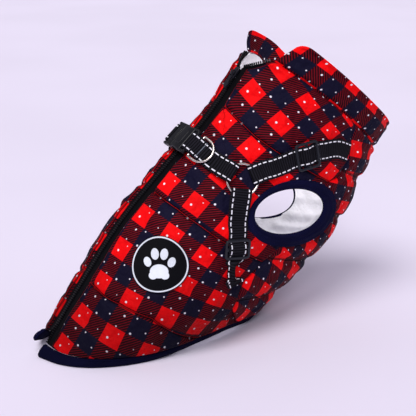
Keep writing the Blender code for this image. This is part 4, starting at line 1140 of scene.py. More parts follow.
def d_ring_parts(route, end):
    """D of round wire: a bar, two short arms and a half ellipse, its corners eased by a running
    mean."""
    here, forward, across, out = route.axes(end - D_BAR_BEFORE)
    tilt = math.radians(D_RING["tilt"])
    bow = -forward * math.cos(tilt) + out * math.sin(tilt)
    axes = frame_axes(here + out * D_BAR_HEIGHT, across, np.cross(across, bow))
    half = D_RING["inner"] / 2 + D_RING["wire"]
    angle = np.linspace(0, np.pi, 40)
    corners = np.concatenate([
        [(-half, 0), (half, 0)],
        np.column_stack([half * np.cos(angle),
                         D_RING["straight"] + (D_RING["bow"] - D_RING["straight"]) * np.sin(angle)]),
        [(-half, 0)]])
    line = evenly(corners, 121)[:-1]
    line = (np.roll(line, 1, 0) + 2 * line + np.roll(line, -1, 0)) / 4
    return carried(axes, line, circle(D_RING["wire"], 16))


def keeper_parts(route, end):
    """Flat bar across the near back strap's upper layer, next to the D-ring."""
    at = end - 13.2
    axes = route.frame(at, DOUBLE + WEB_THICK / 2 + 1)
    return block_parts(axes, (-0.9, -9.2, -0.7), (0.9, 9.2, 0.7), 0.5)


def buckle_frame():
    origin, out = buckle_axes()
    return frame_axes(origin + out * BUCKLE["base"], (0, -1, 0), out)


def strap_end_parts(axes, way):
    """End of a buckle half: two side rails and the bar between them."""
    half, across, thick = BUCKLE["half"], BUCKLE["across"] / 2, BUCKLE["thick"]
    inner = half - BUCKLE["bar"] - BUCKLE["slot"] - 1
    return [block_parts(axes, (way * first, left, low), (way * last, right, thick - low), 0.9)
            for first, last, left, right, low in (
                (inner, half - 0.2, across - 3, across, 1),
                (inner, half - 0.2, -across, -across + 3, 1),
                (half - BUCKLE["bar"], half, -across + 1.2, across - 1.2, thick / 2 - 1.5))]


def housing_parts():
    """Buckle housing: a hollow rounded box, open toward the tongue, with a window in each side, a
    raised panel on top, a closed end and the bar."""
    axes = buckle_frame()
    x = np.linspace(-3, 12.6, 21)
    across, thick = BUCKLE["across"] / 2, BUCKLE["thick"]
    outline = round_rectangle(across, thick / 2, 2.2, 9)
    outline = evenly(np.concatenate([outline, outline[:1]]), 85)[:-1]
    wide = 1 + (0.35 * bell(x, 1.2, -3) - 0.7 * bell(x, 4, 4.5)) / across
    high = 1 + 0.12 * bell(x, 5, 4.5) - 0.1 * smooth_step(x, 8, 12.6)

    def skin(inset):
        y, z = (outline * (1 - inset / np.array([across, thick / 2]))).T[..., None]
        return placed(axes, np.stack(np.broadcast_arrays(x, y * wide, z * high + thick / 2), -1))

    middle = (outline + np.roll(outline, -1, 0)) / 2
    cell_x = (x[:-1] + x[1:]) / 2
    window = ((np.abs(middle[:, 0]) > across - 2.6) & (np.abs(middle[:, 1]) < 2.6))[:, None]
    keep = ~(window & ((cell_x > 0.2) & (cell_x < 8.8))[None])
    uv = grid_places(travelled(outline, True), x)
    box = outward_quads(shell_parts(skin(0), skin(1.5), uv, True, keep))
    panel = block_parts(axes, (-0.2, -7.5, thick - 0.5), (9.5, 7.5, thick + 0.75), 0.6)
    end = block_parts(axes, (11.2, -across + 0.2, 0.5), (14.2, across - 0.2, thick - 0.5), 1.1)
    return joined([box, panel, end, *strap_end_parts(axes, 1)])


def tongue_parts():
    """Buckle tongue: a rounded block that widens toward the housing, a middle guide, and two spring
    arms whose ribbed pads show in the windows."""
    axes = buckle_frame()
    across, thick = BUCKLE["across"] / 2, BUCKLE["thick"]
    parts = [block_parts(axes, (-13.9, -across, 0), (-3.4, across, thick), 1.6, 5),
             block_parts(axes, (-12, -8, thick - 0.4), (-5, 8, thick + 0.6), 0.5),
             block_parts(axes, (-5, -2, 1.9), (9, 2, thick - 1.9), 0.6)]
    # arm, pad and ribs: first and last x, distances in from the side, height over the base, edge
    arms = [(-5, 8.2, 6.2, 3.6, 1.9, 0.6), (1, 8, 4.4, 1, 1.7, 0.8)]
    arms += [(2 + 1.4 * k, 2.7 + 1.4 * k, 1.4, 0.55, 2.2, 0.3) for k in range(4)]
    for way in (-1, 1):
        for first, last, inner, outer, low, edge in arms:
            parts.append(block_parts(axes, (first, way * (across - inner), low),
                                     (last, way * (across - outer), thick - low),
                                     edge, 1 if edge < 0.5 else 3))
    return joined([*parts, *strap_end_parts(axes, -1)])


# ---- badge
def badge_grids():
    """Round badge that follows the panel: a square grid made round (x times the root of one less half y
    squared, and the same for y), raised at its rim. The second axis of its flat places points up."""
    along, turn = BADGE_AT
    a, b = np.meshgrid(np.linspace(-1, 1, 61), np.linspace(-1, 1, 61), indexing="ij")
    first = a * np.sqrt(1 - b**2 / 2) * BADGE_RADIUS
    second = b * np.sqrt(1 - a**2 / 2) * BADGE_RADIUS
    step = 0.001
    upward = (coat(along + step, turn) - coat(along - step, turn)) / (2 * step)
    sideways = coat(along, turn + 0.5) - coat(along, turn - 0.5)
    up, round_ = np.linalg.norm(upward), np.linalg.norm(sideways)
    skew = np.dot(upward, sideways) / up / round_
    turns = turn + second / round_ / math.sqrt(1 - skew**2)
    alongs = along + (first - second * skew / math.sqrt(1 - skew**2)) / up
    radius = np.hypot(first, second)
    low = 2 * GAP
    thin = np.sqrt(np.clip(1 - ((radius - BADGE_RADIUS + 0.7) / 0.7).clip(0) ** 2, 0.05, 1))
    raised = 0.35 * smooth_step(radius, 24, 24.8)
    half = BADGE_THICK * 0.5
    outer = coat(alongs, turns, low + half + (half + raised) * thin)
    inner = coat(alongs, turns, low + half * (1 - thin))
    normal = outward(along, turn)
    upward = unit(np.array([0, 0, 1]) - normal * normal[2])
    right = np.cross(upward, normal)
    away = coat(alongs, turns) - coat(along, turn)
    flat = np.stack([away @ right, away @ upward], -1)
    scale = np.where(radius > 1e-6, radius / np.maximum(np.linalg.norm(flat, axis=-1), 1e-6), 1)
    return outer, inner, flat * scale[..., None]


# ---- shader groups
class Wire:
    """An output socket. Arithmetic with wires and numbers gives wires."""

    def __init__(self, graph, socket):
        self.graph, self.socket = graph, socket

    def __add__(self, other):
        return self.graph.math("ADD", self, other)

    def __sub__(self, other):
        return self.graph.math("SUBTRACT", self, other)

    def __mul__(self, other):
        return self.graph.math("MULTIPLY", self, other)

    def __truediv__(self, other):
        return self.graph.math("DIVIDE", self, other)


class Graph:
    """Short ways to add nodes to one node tree. Each gives a wire."""

    def __init__(self, tree):
        self.tree = tree

    def put(self, socket, value):
        if isinstance(value, Wire):
            self.tree.links.new(value.socket, socket)
        else:
            socket.default_value = value

    def node(self, kind, inputs=(), output=0, **settings):
        """A node with its settings, and its inputs by number or name."""
        made = self.tree.nodes.new(kind)
        for key, value in settings.items():
            setattr(made, key, value)
        for key, value in dict(inputs).items():
            self.put(made.inputs[key], value)
        return Wire(self, made.outputs[output])

    def math(self, operation, *values):
        return self.node("ShaderNodeMath", enumerate(values), operation=operation)

    def vector(self, operation, *values):
        output = "Value" if operation == "LENGTH" else "Vector"
        return self.node("ShaderNodeVectorMath", enumerate(values), output, operation=operation)

    def level(self, vector):
        """Length of a vector without its z."""
        return self.vector("LENGTH", self.vector("MULTIPLY", vector, (1, 1, 0)))

    def wave(self, turns, kind="SINE"):
        """Sine or cosine of a number of whole turns."""
        return self.math(kind, turns * (2 * math.pi))

    def ramp(self, value, low, high, first=0, last=1, kind="SMOOTHSTEP"):
        return self.node("ShaderNodeMapRange", {
            "Value": value, "From Min": low, "From Max": high, "To Min": first, "To Max": last},
            interpolation_type=kind, clamp=True)

    def straight(self, *values):
        return self.ramp(*values, kind="LINEAR")

    def mix(self, share, first, second):
        return self.node("ShaderNodeMix", {0: share, 6: first, 7: second}, 2,
                         data_type="RGBA", clamp_factor=True)

    def noise(self, place, scale, detail=2, rough=0.5):
        return self.node("ShaderNodeTexNoise", {
            "Vector": place, "Scale": scale, "Detail": detail, "Roughness": rough}, "Fac")

    def outputs(self, wire):
        return [Wire(self, socket) for socket in wire.socket.node.outputs]

    def split(self, vector):
        return self.outputs(self.node("ShaderNodeSeparateXYZ", {0: vector}))

    def flat(self):
        return self.node("ShaderNodeUVMap", uv_map="flat")

    def place(self):
        return self.node("ShaderNodeTexCoord", output="Object")

    def tinted(self, colour, value):
        return self.node("ShaderNodeHueSaturation", {"Color": colour, "Value": value})

    def group(self, name, **inputs):
        """A shared group's outputs by name. It is built when first asked for."""
        if name not in GROUPS:
            GROUPS[name] = GROUP_MAKERS[name]()
        made = self.node("ShaderNodeGroup", inputs, node_tree=GROUPS[name])
        return {wire.socket.name: wire for wire in self.outputs(made)}

    def finished(self, base, *bumps, rough=None):
        """Joins the base colour, the roughness and the bumps, each (height, distance, strength) over
        the one before, to the shader."""
        shader = self.tree.nodes["Principled BSDF"]
        self.put(shader.inputs["Base Color"], base)
        if rough:
            self.put(shader.inputs["Roughness"], rough)
        normal = {}
        for height, distance, strength in bumps:
            bump = {"Strength": strength, "Distance": distance, "Height": height, **normal}
            normal = {"Normal": self.node("ShaderNodeBump", bump)}
        self.put(shader.inputs["Normal"], normal["Normal"])
        return self.material


def new_group(name, outputs, **inputs):
    """An empty shader group from its inputs' defaults: a graph, the inputs' wires by name, and a
    function that joins the outputs."""
    tree = bpy.data.node_groups.new(name, "ShaderNodeTree")
    for label, default in inputs.items():
        kind = {1: "Float", 3: "Vector", 4: "Color"}[np.size(default)]
        socket = tree.interface.new_socket(label, in_out="INPUT", socket_type=f"NodeSocket{kind}")
        socket.default_value = default
    for label in outputs:
        kind = "Color" if label == "Color" else "Float"
        tree.interface.new_socket(label, in_out="OUTPUT", socket_type=f"NodeSocket{kind}")
    g = Graph(tree)
    given, ends = tree.nodes.new("NodeGroupInput"), tree.nodes.new("NodeGroupOutput")

    def give(**wires):
        for label, wire in wires.items():
            g.put(ends.inputs[label], wire)
        return tree

    return g, {label: Wire(g, given.outputs[label]) for label in inputs}, give


ORIGIN = (0, 0, 0)


def check_group():
    """Check print: two square waves across each other in flat millimetres. Both on is the bright
    square, neither the dark one, one of them hatched with diagonal lines; round dots repeat on the same
    lattice."""
    g, given, give = new_group(
        "check_print", ("Color", "Ink"), Place=ORIGIN, Start=ORIGIN, Lines=12, Lean=-1,
        Bright=(0.9, 0, 0, 1), Dark=(0.01, 0.01, 0.03, 1), Shade=(0.02, 0, 0.01, 1),
        Line=(0.3, 0, 0.01, 1), Dot=(0.9, 0.9, 0.95, 1))
    cell = g.vector("MULTIPLY", g.vector("SUBTRACT", given["Place"], given["Start"]),
                    (1 / (REPEAT * MM), 1 / (REPEAT * MM), 1))
    a, b, _ = g.split(cell)
    first, second = (g.ramp(g.wave(value, "COSINE"), -0.035, 0.035) for value in (a, b))
    both = first * second
    either = first + second - both * 2
    slant = (a + b * given["Lean"]) * given["Lines"]
    hatched = g.mix(g.ramp(g.wave(slant, "COSINE"), -0.15, 0.8), given["Shade"], given["Line"])
    colour = g.mix(either, g.mix(both, given["Dark"], given["Bright"]), hatched)
    dots = None
    for x, y, radius in DOTS:
        away = g.vector("WRAP", g.vector("SUBTRACT", cell, (x, y, 0)), (0.5,) * 3, (-0.5,) * 3)
        dot = g.ramp(g.level(away) * REPEAT, radius - 0.28, radius + 0.28, 1, 0)
        dots = g.math("MAXIMUM", dots, dot) if dots else dot
    return give(Color=g.mix(dots, colour, given["Dot"]), Ink=g.math("MAXIMUM", dots, both * 0.5))


def weave_group():
    """Plain weave: the product of a sine wave along each thread direction, over a slow unevenness."""
    g, given, give = new_group("fine_weave", ("Height", "Variation"),
                               Place=ORIGIN, Threads=1800, Unevenness=0.4)
    a, b, _ = g.split(given["Place"])
    cloth = g.wave(a * given["Threads"]) * g.wave(b * given["Threads"]) * 0.5
    slow = g.noise(given["Place"], 260, 3, 0.6)
    return give(Height=cloth + slow * given["Unevenness"],
                Variation=g.noise(given["Place"], 34, 4, 0.55))


def crease_group():
    """Soft crumples of cloth: two sizes of noise, the larger stretched one way, from Object places."""
    g, given, give = new_group("soft_crumples", ("Height",), Place=ORIGIN, Size=1)
    scaled = g.node("ShaderNodeVectorMath", {0: given["Place"], "Scale": given["Size"]},
                    operation="SCALE")
    large = g.noise(g.vector("MULTIPLY", scaled, (1, 0.45, 1)), 60)
    return give(Height=large + g.noise(scaled, 170) * 0.5)


def rib_group():
    """Ribs square to one axis of the flat place: a cosine wave, with small stitches along each rib."""
    g, given, give = new_group("ribs", ("Height", "Groove"),
                               Place=ORIGIN, Pitch=0.0012, Stitch=0.0009)
    a, b, _ = g.split(given["Place"])
    wave = g.wave(a / given["Pitch"], "COSINE")
    return give(Height=wave + g.wave(b / given["Stitch"]) * 0.35,
                Groove=g.ramp(wave, -1, 0.2, 1, 0))


def wear_group():
    """Fine scuffs and finger marks of hard pieces: thin bright lines from a stretched noise, and a slow
    change of gloss."""
    g, given, give = new_group("scuffs", ("Mark", "Gloss", "Height"), Place=ORIGIN, Amount=0.5)
    lines = g.noise(g.vector("MULTIPLY", given["Place"], (1, 5, 2)), 420, 3, 0.65)
    return give(Mark=g.ramp(lines, 0.6, 0.72) * given["Amount"],
                Gloss=g.noise(given["Place"], 120, 3), Height=g.noise(given["Place"], 1500))


GROUPS = {}
GROUP_MAKERS = {"check": check_group, "weave": weave_group, "crumple": crease_group,
                "ribs": rib_group, "scuffs": wear_group}


# ---- materials
def linear(colour, share=1, lift=0):
    """Linear RGBA of an sRGB colour given from 0 to 255, made darker or lighter by a share and a
    lift."""
    c = (np.array(colour[:3], float) * share + lift) / 255
    c = np.where(c <= 0.04045, c / 12.92, ((c + 0.055) / 1.055) ** 2.4)
    return (*[float(x) for x in c], 1)


def new_material(name, roughness, specular=0.1, metallic=0, sheen=0):
    made = bpy.data.materials.new(name)
    made.use_nodes = True
    g = Graph(made.node_tree)
    g.material = made
    for label, value in (("Roughness", roughness), ("Specular IOR Level", specular),
                         ("Metallic", metallic), ("Sheen Weight", sheen)):
        made.node_tree.nodes["Principled BSDF"].inputs[label].default_value = value
    return g


def check_cloth(name, origin, colours, lean=-1, sewn=True, thread=True, painted_floor_shade=0.48):
    """Printed check cloth: print, slight fading, painted shade that makes it darker low down, rows of
    stitches that draw the cloth in with painted shade along them, weave and crumples."""
    g = new_material(name, 0.62, 0.05)
    flat = g.flat()
    print_ = g.group("check", Place=flat, Start=(origin[0] * MM, origin[1] * MM, 0), Lean=lean,
                     **{key.capitalize(): linear(colour) for key, colour in colours.items()})
    weave = g.group("weave", Place=flat)
    colour = print_["Color"]
    height = g.group("crumple", Place=g.place())["Height"]
    if sewn:
        away = g.node("ShaderNodeAttribute", output="Fac", attribute_name="stitching")
        dent = g.ramp(g.math("ABSOLUTE", away), 0.3 * MM, 1.5 * MM)
        # painted shade along the stitching: the colour goes most of the way to the hatch ground at the
        # seam
        colour = g.mix(g.straight(dent, 0, 1, 0.72, 0), colour, linear(colours["shade"]))
        if thread:
            a, b, _ = g.split(flat)
            beat = g.math("FRACT", (a + b) / (2.8 * MM))
            row = g.ramp(g.math("ABSOLUTE", away - 0.25 * MM), 0.2 * MM, 0.4 * MM, 1, 0)
            colour = g.mix(g.ramp(beat, 0.1, 0.2) * row, colour, linear(colours["bright"], 0.72))
        height = height + dent * 0.7
    # random tone, times painted shade that darkens the cloth toward the floor to the given share at z =
    # 0
    value = (g.straight(weave["Variation"], 0.3, 0.7, 0.8, 1.08)
             * g.ramp(g.split(g.place())[2], 0, 0.15, painted_floor_shade, 1))
    return g.finished(g.tinted(colour, value), (height, 0.0048, 0.9),
                      (weave["Height"], 0.00006, 0.7),
                      rough=g.straight(print_["Ink"], 0, 1, 0.66, 0.5))


def knit(name, colour):
    """Ribbed knit edging, with painted shade in its grooves and near the floor."""
    g = new_material(name, 0.85, 0.04)
    ribs = g.group("ribs", Place=g.flat(), Pitch=0.0013, Stitch=0.0011)
    weave = g.group("weave", Place=g.flat(), Threads=900)
    # random tone, times painted shade that darkens the edging near the floor
    lift = (g.straight(weave["Variation"], 0.3, 0.7, 0.8, 1.25)
            * g.ramp(g.split(g.place())[2], 0.005, 0.06, 0.55, 1))
    # painted shade: the rib grooves darken to 45 per cent
    base = g.tinted(g.mix(ribs["Groove"], linear(colour), linear(colour, 0.45)), lift)
    return g.finished(base, (ribs["Height"], 0.00018, 0.9), (weave["Height"], 0.0001, 0.6))


def lining_cloth(name, colour):
    """White brushed lining."""
    g = new_material(name, 0.85, 0.2, sheen=0.1)
    weave = g.group("weave", Place=g.flat(), Threads=1100, Unevenness=0.9)
    crumple = g.group("crumple", Place=g.place(), Size=1.3)
    base = g.mix(g.ramp(weave["Variation"], 0.3, 0.7), linear(colour), linear(colour, 0.93))
    return g.finished(base, (crumple["Height"], 0.003, 0.8), (weave["Height"], 0.00012, 0.6))


def webbing(name, colour, dash, length, gap):
    """Woven webbing: ribs across it, and rows of bright dashes near both edges, placed by the distance
    along it and across it."""
    g = new_material(name, 0.72, 0.06)
    flat = g.flat()
    run, across, _ = g.split(flat)
    ribs = g.group("ribs", Place=flat, Pitch=0.0024, Stitch=0.0013)
    weave = g.group("weave", Place=flat, Threads=900)
    # painted shade: the rib grooves darken to 22 per cent, over random tone
    base = g.tinted(g.mix(ribs["Groove"], linear(colour), linear(colour, 0.22)),
                    g.straight(weave["Variation"], 0.3, 0.7, 0.75, 1.3))
    beat = g.math("FRACT", run / ((length + gap) * MM))
    share = length / (length + gap)
    from_row = g.math("ABSOLUTE", g.math("ABSOLUTE", across) - 7.35 * MM)
    thread = (g.ramp(beat, 0, 0.07) * g.ramp(beat, share - 0.07, share, 1, 0)
              * g.ramp(from_row, 0.48 * MM, 0.72 * MM, 1, 0))
    return g.finished(g.mix(thread, base, linear(dash)), (ribs["Height"] + thread * 2.2, 0.00022, 0.9),
                      (weave["Height"], 0.0001, 0.5),
                      rough=g.straight(thread, 0, 1, 0.74, 0.42))


def worn(name, colour, mark, roughness, gloss, grain, amount, **shader):
    """A hard finish with scuffs: marks of another colour, a roughness that changes by gloss below and
    above its middle, and a fine grain."""
    g = new_material(name, roughness, **shader)
    scuffs = g.group("scuffs", Place=g.place(), Amount=amount)
    rough = g.straight(scuffs["Gloss"], 0.3, 0.7, roughness - gloss[0], roughness + gloss[1])
    return g.finished(g.mix(scuffs["Mark"], linear(colour), mark), (scuffs["Height"], *grain),
                      rough=rough)


def plastic(name, colour, roughness):
    """Moulded black plastic with a fine grain and light scuffs."""
    return worn(name, colour, linear(colour, 1.4, 14), roughness, (0.08, 0.12), (0.00008, 0.5), 0.5,
                specular=0.3)


def metal(name, colour, roughness=0.22):
    """Plated wire with small dulled patches."""
    return worn(name, colour, linear(colour, 0.72), roughness, (0.07, 0.16), (0.00004, 0.4), 0.8,
                metallic=1)


def tape(name, colour):
    """Zip tape and its cord: a fine herringbone of ribs, with painted shade in their grooves."""
    g = new_material(name, 0.7, 0.06)
    ribs = g.group("ribs", Place=g.flat(), Pitch=0.0012, Stitch=0.0008)
    base = g.mix(ribs["Groove"], linear(colour), linear(colour, 0.5))
    return g.finished(base, (ribs["Height"], 0.00015, 0.9))


# the badge's paw: middle x and y, half width and half height in mm, lean in degrees
PAW = [(-11.2, 2.6, 3.5, 4.9, 24), (-4.3, 9.9, 3.7, 5.4, 8), (4.3, 9.9, 3.7, 5.4, -8),
       (11.2, 2.6, 3.5, 4.9, -24), (0, -6.2, 8.6, 6.6, 0), (-5, -9.6, 4.6, 4, 30),
       (5, -9.6, 4.6, 4, -30)]


def badge_cloth(name, ground, thread):
    """Embroidered badge: a dark ground of satin stitches, a pale ring near the rim and a paw print of
    four ovals over a wider one."""
    g = new_material(name, 0.6, 0.05)
    flat = g.flat()
    x, y, _ = g.split(flat)
    radius = g.vector("LENGTH", flat) * 1000
    mask = g.ramp(radius, 24.6, 25) * g.ramp(radius, 26, 26.4, 1, 0)
    for px, py, half_x, half_y, lean in PAW:
        oval = g.node("ShaderNodeMapping", {
            "Vector": flat, "Location": (px * MM, py * MM, 0), "Scale": (half_x * MM, half_y * MM, 1),
            "Rotation": (0, 0, math.radians(lean))}, vector_type="TEXTURE")
        mask = g.math("MAXIMUM", mask, g.ramp(g.level(oval), 0.96, 1.03, 1, 0))
    stitch = g.math("SINE", (x + y * 0.35) * (2 * math.pi / 0.0009))
    weave = g.group("weave", Place=flat, Threads=1000)
    # painted shade between the satin stitches, times random tone
    value = g.straight(stitch, -1, 1, 0.82, 1) * g.ramp(weave["Variation"], 0.3, 0.7, 0.9, 1.1)
    return g.finished(g.tinted(g.mix(mask, linear(ground), linear(thread)), value),
                      (stitch * 0.25 + mask * 2, 0.0002, 0.9))


def floor_finish(name, colour):
    """Plain pale floor with a very slow unevenness."""
    g = new_material(name, 0.8)
    slow = g.ramp(g.noise(g.place(), 1.6), 0.35, 0.65)
    return g.finished(g.mix(slow, linear(colour), linear(colour, 0.985)),
                      (g.noise(g.place(), 900), 0.00002, 0.3))


# ---- settings
def colour_setting(name, pieces, colour):
    return bpy.props.FloatVectorProperty(
        name=name, description=f"Colour of the {pieces}", size=3, min=0, max=1,
        subtype="COLOR_GAMMA", default=[c / 255 for c in colour])


def number_setting(name, description, default, **more):
    return bpy.props.FloatProperty(name=name, description=description, default=default, **more)


class CoatClothSettings(bpy.types.PropertyGroup):
    """Colours of the cloth pieces."""
    bright: colour_setting("Bright check", "bright squares", (243, 9, 15))
    dark: colour_setting("Dark check", "dark squares", (19, 17, 40))
    shade: colour_setting("Hatch ground", "ground between hatched lines", (20, 6, 18))
    line: colour_setting("Hatch lines", "hatched lines", (118, 8, 20))
    dot: colour_setting("Dots", "printed dots", (246, 240, 250))
    rib: colour_setting("Knit edging", "ribbed edgings", (17, 18, 56))
    lining: colour_setting("Lining", "lining", (248, 247, 252))


class CoatHarnessSettings(bpy.types.PropertyGroup):
    """Colours and sizes of the harness and the zip."""
    webbing: colour_setting("Webbing", "webbing", (26, 25, 32))
    dash: colour_setting("Reflective dashes", "dashes", (240, 240, 248))
    dash_length: number_setting("Dash length", "Length of a dash", 0.004,
                                min=0.001, max=0.02, unit="LENGTH")
    dash_gap: number_setting("Dash gap", "Gap between two dashes", 0.0015,
                             min=0.0005, max=0.02, unit="LENGTH")
    plastic: colour_setting("Plastic", "buckle and slides", (13, 14, 19))
    zip: colour_setting("Zip", "zip", (11, 11, 15))
    metal: colour_setting("Rings", "plated rings", (214, 206, 198))


class CoatStageSettings(bpy.types.PropertyGroup):
    """Floor, light and camera."""
    floor: colour_setting("Floor", "floor", (229, 223, 240))
    azimuth: number_setting("Azimuth", "Camera's direction round the coat", math.radians(-26),
                            subtype="ANGLE")
    elevation: number_setting("Elevation", "Camera's height angle", math.radians(17), subtype="ANGLE")
    distance: number_setting("Distance", "Camera's distance from its target", 1,
                             min=0.2, unit="LENGTH")
    light: number_setting("Light", "Strength of the soft lights", 1,
                          min=0, max=10, subtype="FACTOR")


def rgb(setting):
    return [c * 255 for c in setting]


FINISHES = {}


def finish(name):
    """One of the coat's materials, made the first time it is asked for."""
    if name not in FINISHES:
        cloth, harness = bpy.context.scene.coat_cloth, bpy.context.scene.coat_harness
        colours = {key: rgb(getattr(cloth, key)) for key in ("bright", "dark", "shade", "line", "dot")}
        zip_colour, moulded = rgb(harness.zip), rgb(harness.plastic)
        maker, *values = {
            "check_near": (check_cloth, (0, 0), colours),
            "check_far": (check_cloth, FAR_ORIGIN, colours),
            # the belly takes a weaker painted shade toward the floor
            "check_belly": (check_cloth, (0, 0), colours, -1, True, False, 0.88),
            "check_collar": (check_cloth, COLLAR_ORIGIN, colours, 1, False),
            "knit_edging": (knit, rgb(cloth.rib)),
            "brushed_lining": (lining_cloth, rgb(cloth.lining)),
            "dashed_webbing": (webbing, rgb(harness.webbing), rgb(harness.dash),
                               harness.dash_length / MM, harness.dash_gap / MM),
            "zip_tape_cloth": (tape, zip_colour),
            "zip_plastic": (plastic, zip_colour, 0.33),
            # slider and pull: glossier plastic whose colour is the zip's black made 1.9 times lighter
            # as painted highlight
            "zip_enamel": (plastic, [c * 1.9 for c in zip_colour], 0.24),
            "buckle_plastic": (plastic, moulded, 0.4),
            # the slides' plastic is the buckle's black made lighter as painted highlight
            "slide_plastic": (plastic, (22, 25, 33), 0.36),
            # the keeper's bluish grey is painted highlight on a black plastic bar
            "keeper_plastic": (plastic, (58, 66, 84), 0.35),
            "plated_wire": (metal, rgb(harness.metal)),
            "badge_stitching": (badge_cloth, (10, 10, 15), (226, 232, 242)),
        }[name]
        FINISHES[name] = maker(name, *values)
    return FINISHES[name]


def fitted(made, material, node=None, body="coat"):
    """Gives a piece its material, parents it to its body's empty, and hides the CAD node that it stands
    for.
    """
    made.data.materials.clear()
    made.data.materials.append(finish(material))
    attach(made, body)
    if node:
        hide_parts(node)
    return made


def cut_sheet(made, grids, *rests_on, held="stretched"):
    """Works out the area inside a cloth piece's flat places; nothing uses it."""
    uv = grids[2] * MM
    a, b, c, d = uv[:-1, :-1], uv[1:, :-1], uv[1:, 1:], uv[:-1, 1:]
    p, q = c - a, d - b
    area = float(np.abs(p[..., 0] * q[..., 1] - p[..., 1] * q[..., 0]).sum() / 2)


class CoatBuilder:
    """Shared part of the operators: undoable."""
    bl_options = {"REGISTER", "UNDO"}


class COAT_OT_back_panels(CoatBuilder, bpy.types.Operator):
    """Two quilted back panels, from the zip to the side seams"""
    bl_idname = "coat.back_panels"
    bl_label = "Back panels"

    def execute(self, context):
        for word, side in SIDES:
            outer, inner, flat, away = grids = back_cloth(side, 66, 1.8, 0, -PANEL, 0, back_relief)
            made = shell(f"back_cloth_{word}", outer, inner, grained(flat, GRAIN) if side > 0 else flat,
                         stitching=away)
            fitted(made, f"check_{word}", f"back_panel_{word}")
            cut_sheet(made, grids, "hem_band")
        return {"FINISHED"}


class COAT_OT_belly_panel(CoatBuilder, bpy.types.Operator):
    """The belly and chest panel, quilted across"""
    bl_idname = "coat.belly_panel"
    bl_label = "Belly panel"

    def execute(self, context):
        outer, inner, flat, away = grids = belly_cloth(112, 1.8, belly_relief,
                                                       lambda along, turn: -PANEL, 0)
        made = shell("belly_cloth", outer, inner, grained(flat, BELLY_GRAIN), stitching=away)
        fitted(made, "check_belly", "belly_panel")
        cut_sheet(made, grids, "hem_band")
        return {"FINISHED"}


class COAT_OT_linings(CoatBuilder, bpy.types.Operator):
    """White linings behind the three panels"""
    bl_idname = "coat.linings"
    bl_label = "Linings"

    def execute(self, context):
        top, low = -PANEL - GAP, -PANEL - GAP - LINING
        for word, side in SIDES:
            grids = back_cloth(side, 36, 3.2, top, low, 0.4, lambda along, turn, side: 0)
            made = shell(f"lining_back_{word}", *grids[:3])
            fitted(made, "brushed_lining", f"back_lining_{word}")
            cut_sheet(made, grids, f"back_cloth_{word}")
        grids = belly_cloth(76, 2.4, lambda along, turn: top,
                            lambda along, turn: low + lining_face(along, turn), 0.4)
        made = shell("lining_belly", *grids[:3])
        fitted(made, "brushed_lining", "belly_lining")
        cut_sheet(made, grids, "belly_cloth")
        return {"FINISHED"}


class COAT_OT_collar(CoatBuilder, bpy.types.Operator):
    """The stand collar"""
    bl_idname = "coat.collar"
    bl_label = "Collar"

    def execute(self, context):
        grids = collar_grids()
        made = shell("collar_cloth", *grids)
        fitted(made, "check_collar", "collar")
        cut_sheet(made, grids, "back_cloth_near", "back_cloth_far", "belly_cloth")
        return {"FINISHED"}


class COAT_OT_edgings(CoatBuilder, bpy.types.Operator):
    """Ribbed knit edging of the hem and of both armholes"""
    bl_idname = "coat.edgings"
    bl_label = "Knit edgings"

    def execute(self, context):
        fitted(shell("hem_band", *hem_grids()), "knit_edging", "hem_edging")
        for word, side in SIDES:
            fitted(shell(f"armhole_band_{word}", *arm_grids(side), closed=True),
                   "knit_edging", f"armhole_edging_{word}")
        return {"FINISHED"}


class COAT_OT_zip(CoatBuilder, bpy.types.Operator):
    """Zip tapes, teeth, slider and pull tab"""
    bl_idname = "coat.zip_fastener"
    bl_label = "Zip"

    def execute(self, context):
        rows = fine_rows(2)
        for word, side in SIDES:
            grids = zip_grids(side, TEETH_HALF + GAP, ZIP_HALF + TAPE_UNDER, -0.9, -2.1, rows, 6)
            fitted(shell(f"tape_{word}", *grids), "zip_tape_cloth",
                   f"zip_tape_{word}")
            fitted(mesh_object(f"teeth_{word}", *teeth_parts(side), 35), "zip_plastic")
        shut = rows[rows < ZIP_OPEN + 0.014]
        grids = zip_grids(1, -TEETH_HALF, TEETH_HALF, -0.75, -2, shut, 5)
        fitted(shell("teeth_bed", *grids), "zip_tape_cloth", "zip_chain")
        fitted(mesh_object("slider_body", *slider_parts(), 45), "zip_enamel",
               "zip_slider")
        fitted(shell("pull_tongue", *pull_grids(), smooth_angle=40), "zip_enamel",
               "zip_pull", "pull_tab")
        return {"FINISHED"}


class COAT_OT_straps(CoatBuilder, bpy.types.Operator):
    """Six webbing straps of the harness"""
    bl_idname = "coat.straps"
    bl_label = "Straps"

    def execute(self, context):
        for word, side in SIDES:
            back, chest, belly, end = routes(side)
            for name, route, profile, pinch in (
                    ("back", back, back_profile(end), None),
                    ("chest", chest, sewn_profile(chest, *CHEST_SLIDE), None),
                    ("belly", belly, sewn_profile(belly, *BELLY_SLIDE), BELLY_SLIDE[0] + 10)):
                fitted(shell(f"{name}_webbing_{word}", *webbing_grids(route, profile, pinch)),
                       "dashed_webbing", f"{name}_strap_{word}")
        return {"FINISHED"}


class COAT_OT_slides(CoatBuilder, bpy.types.Operator):
    """Four strap slides"""
    bl_idname = "coat.slides"
    bl_label = "Strap slides"

    def execute(self, context):
        for word, side in SIDES:
            _, chest, belly, _ = routes(side)
            for name, route, slide in (("chest", chest, CHEST_SLIDE), ("belly", belly, BELLY_SLIDE)):
                fitted(mesh_object(f"{name}_adjuster_{word}", *slide_parts(route, *slide), 40),
                       "slide_plastic", f"{name}_slide_{word}")
        return {"FINISHED"}


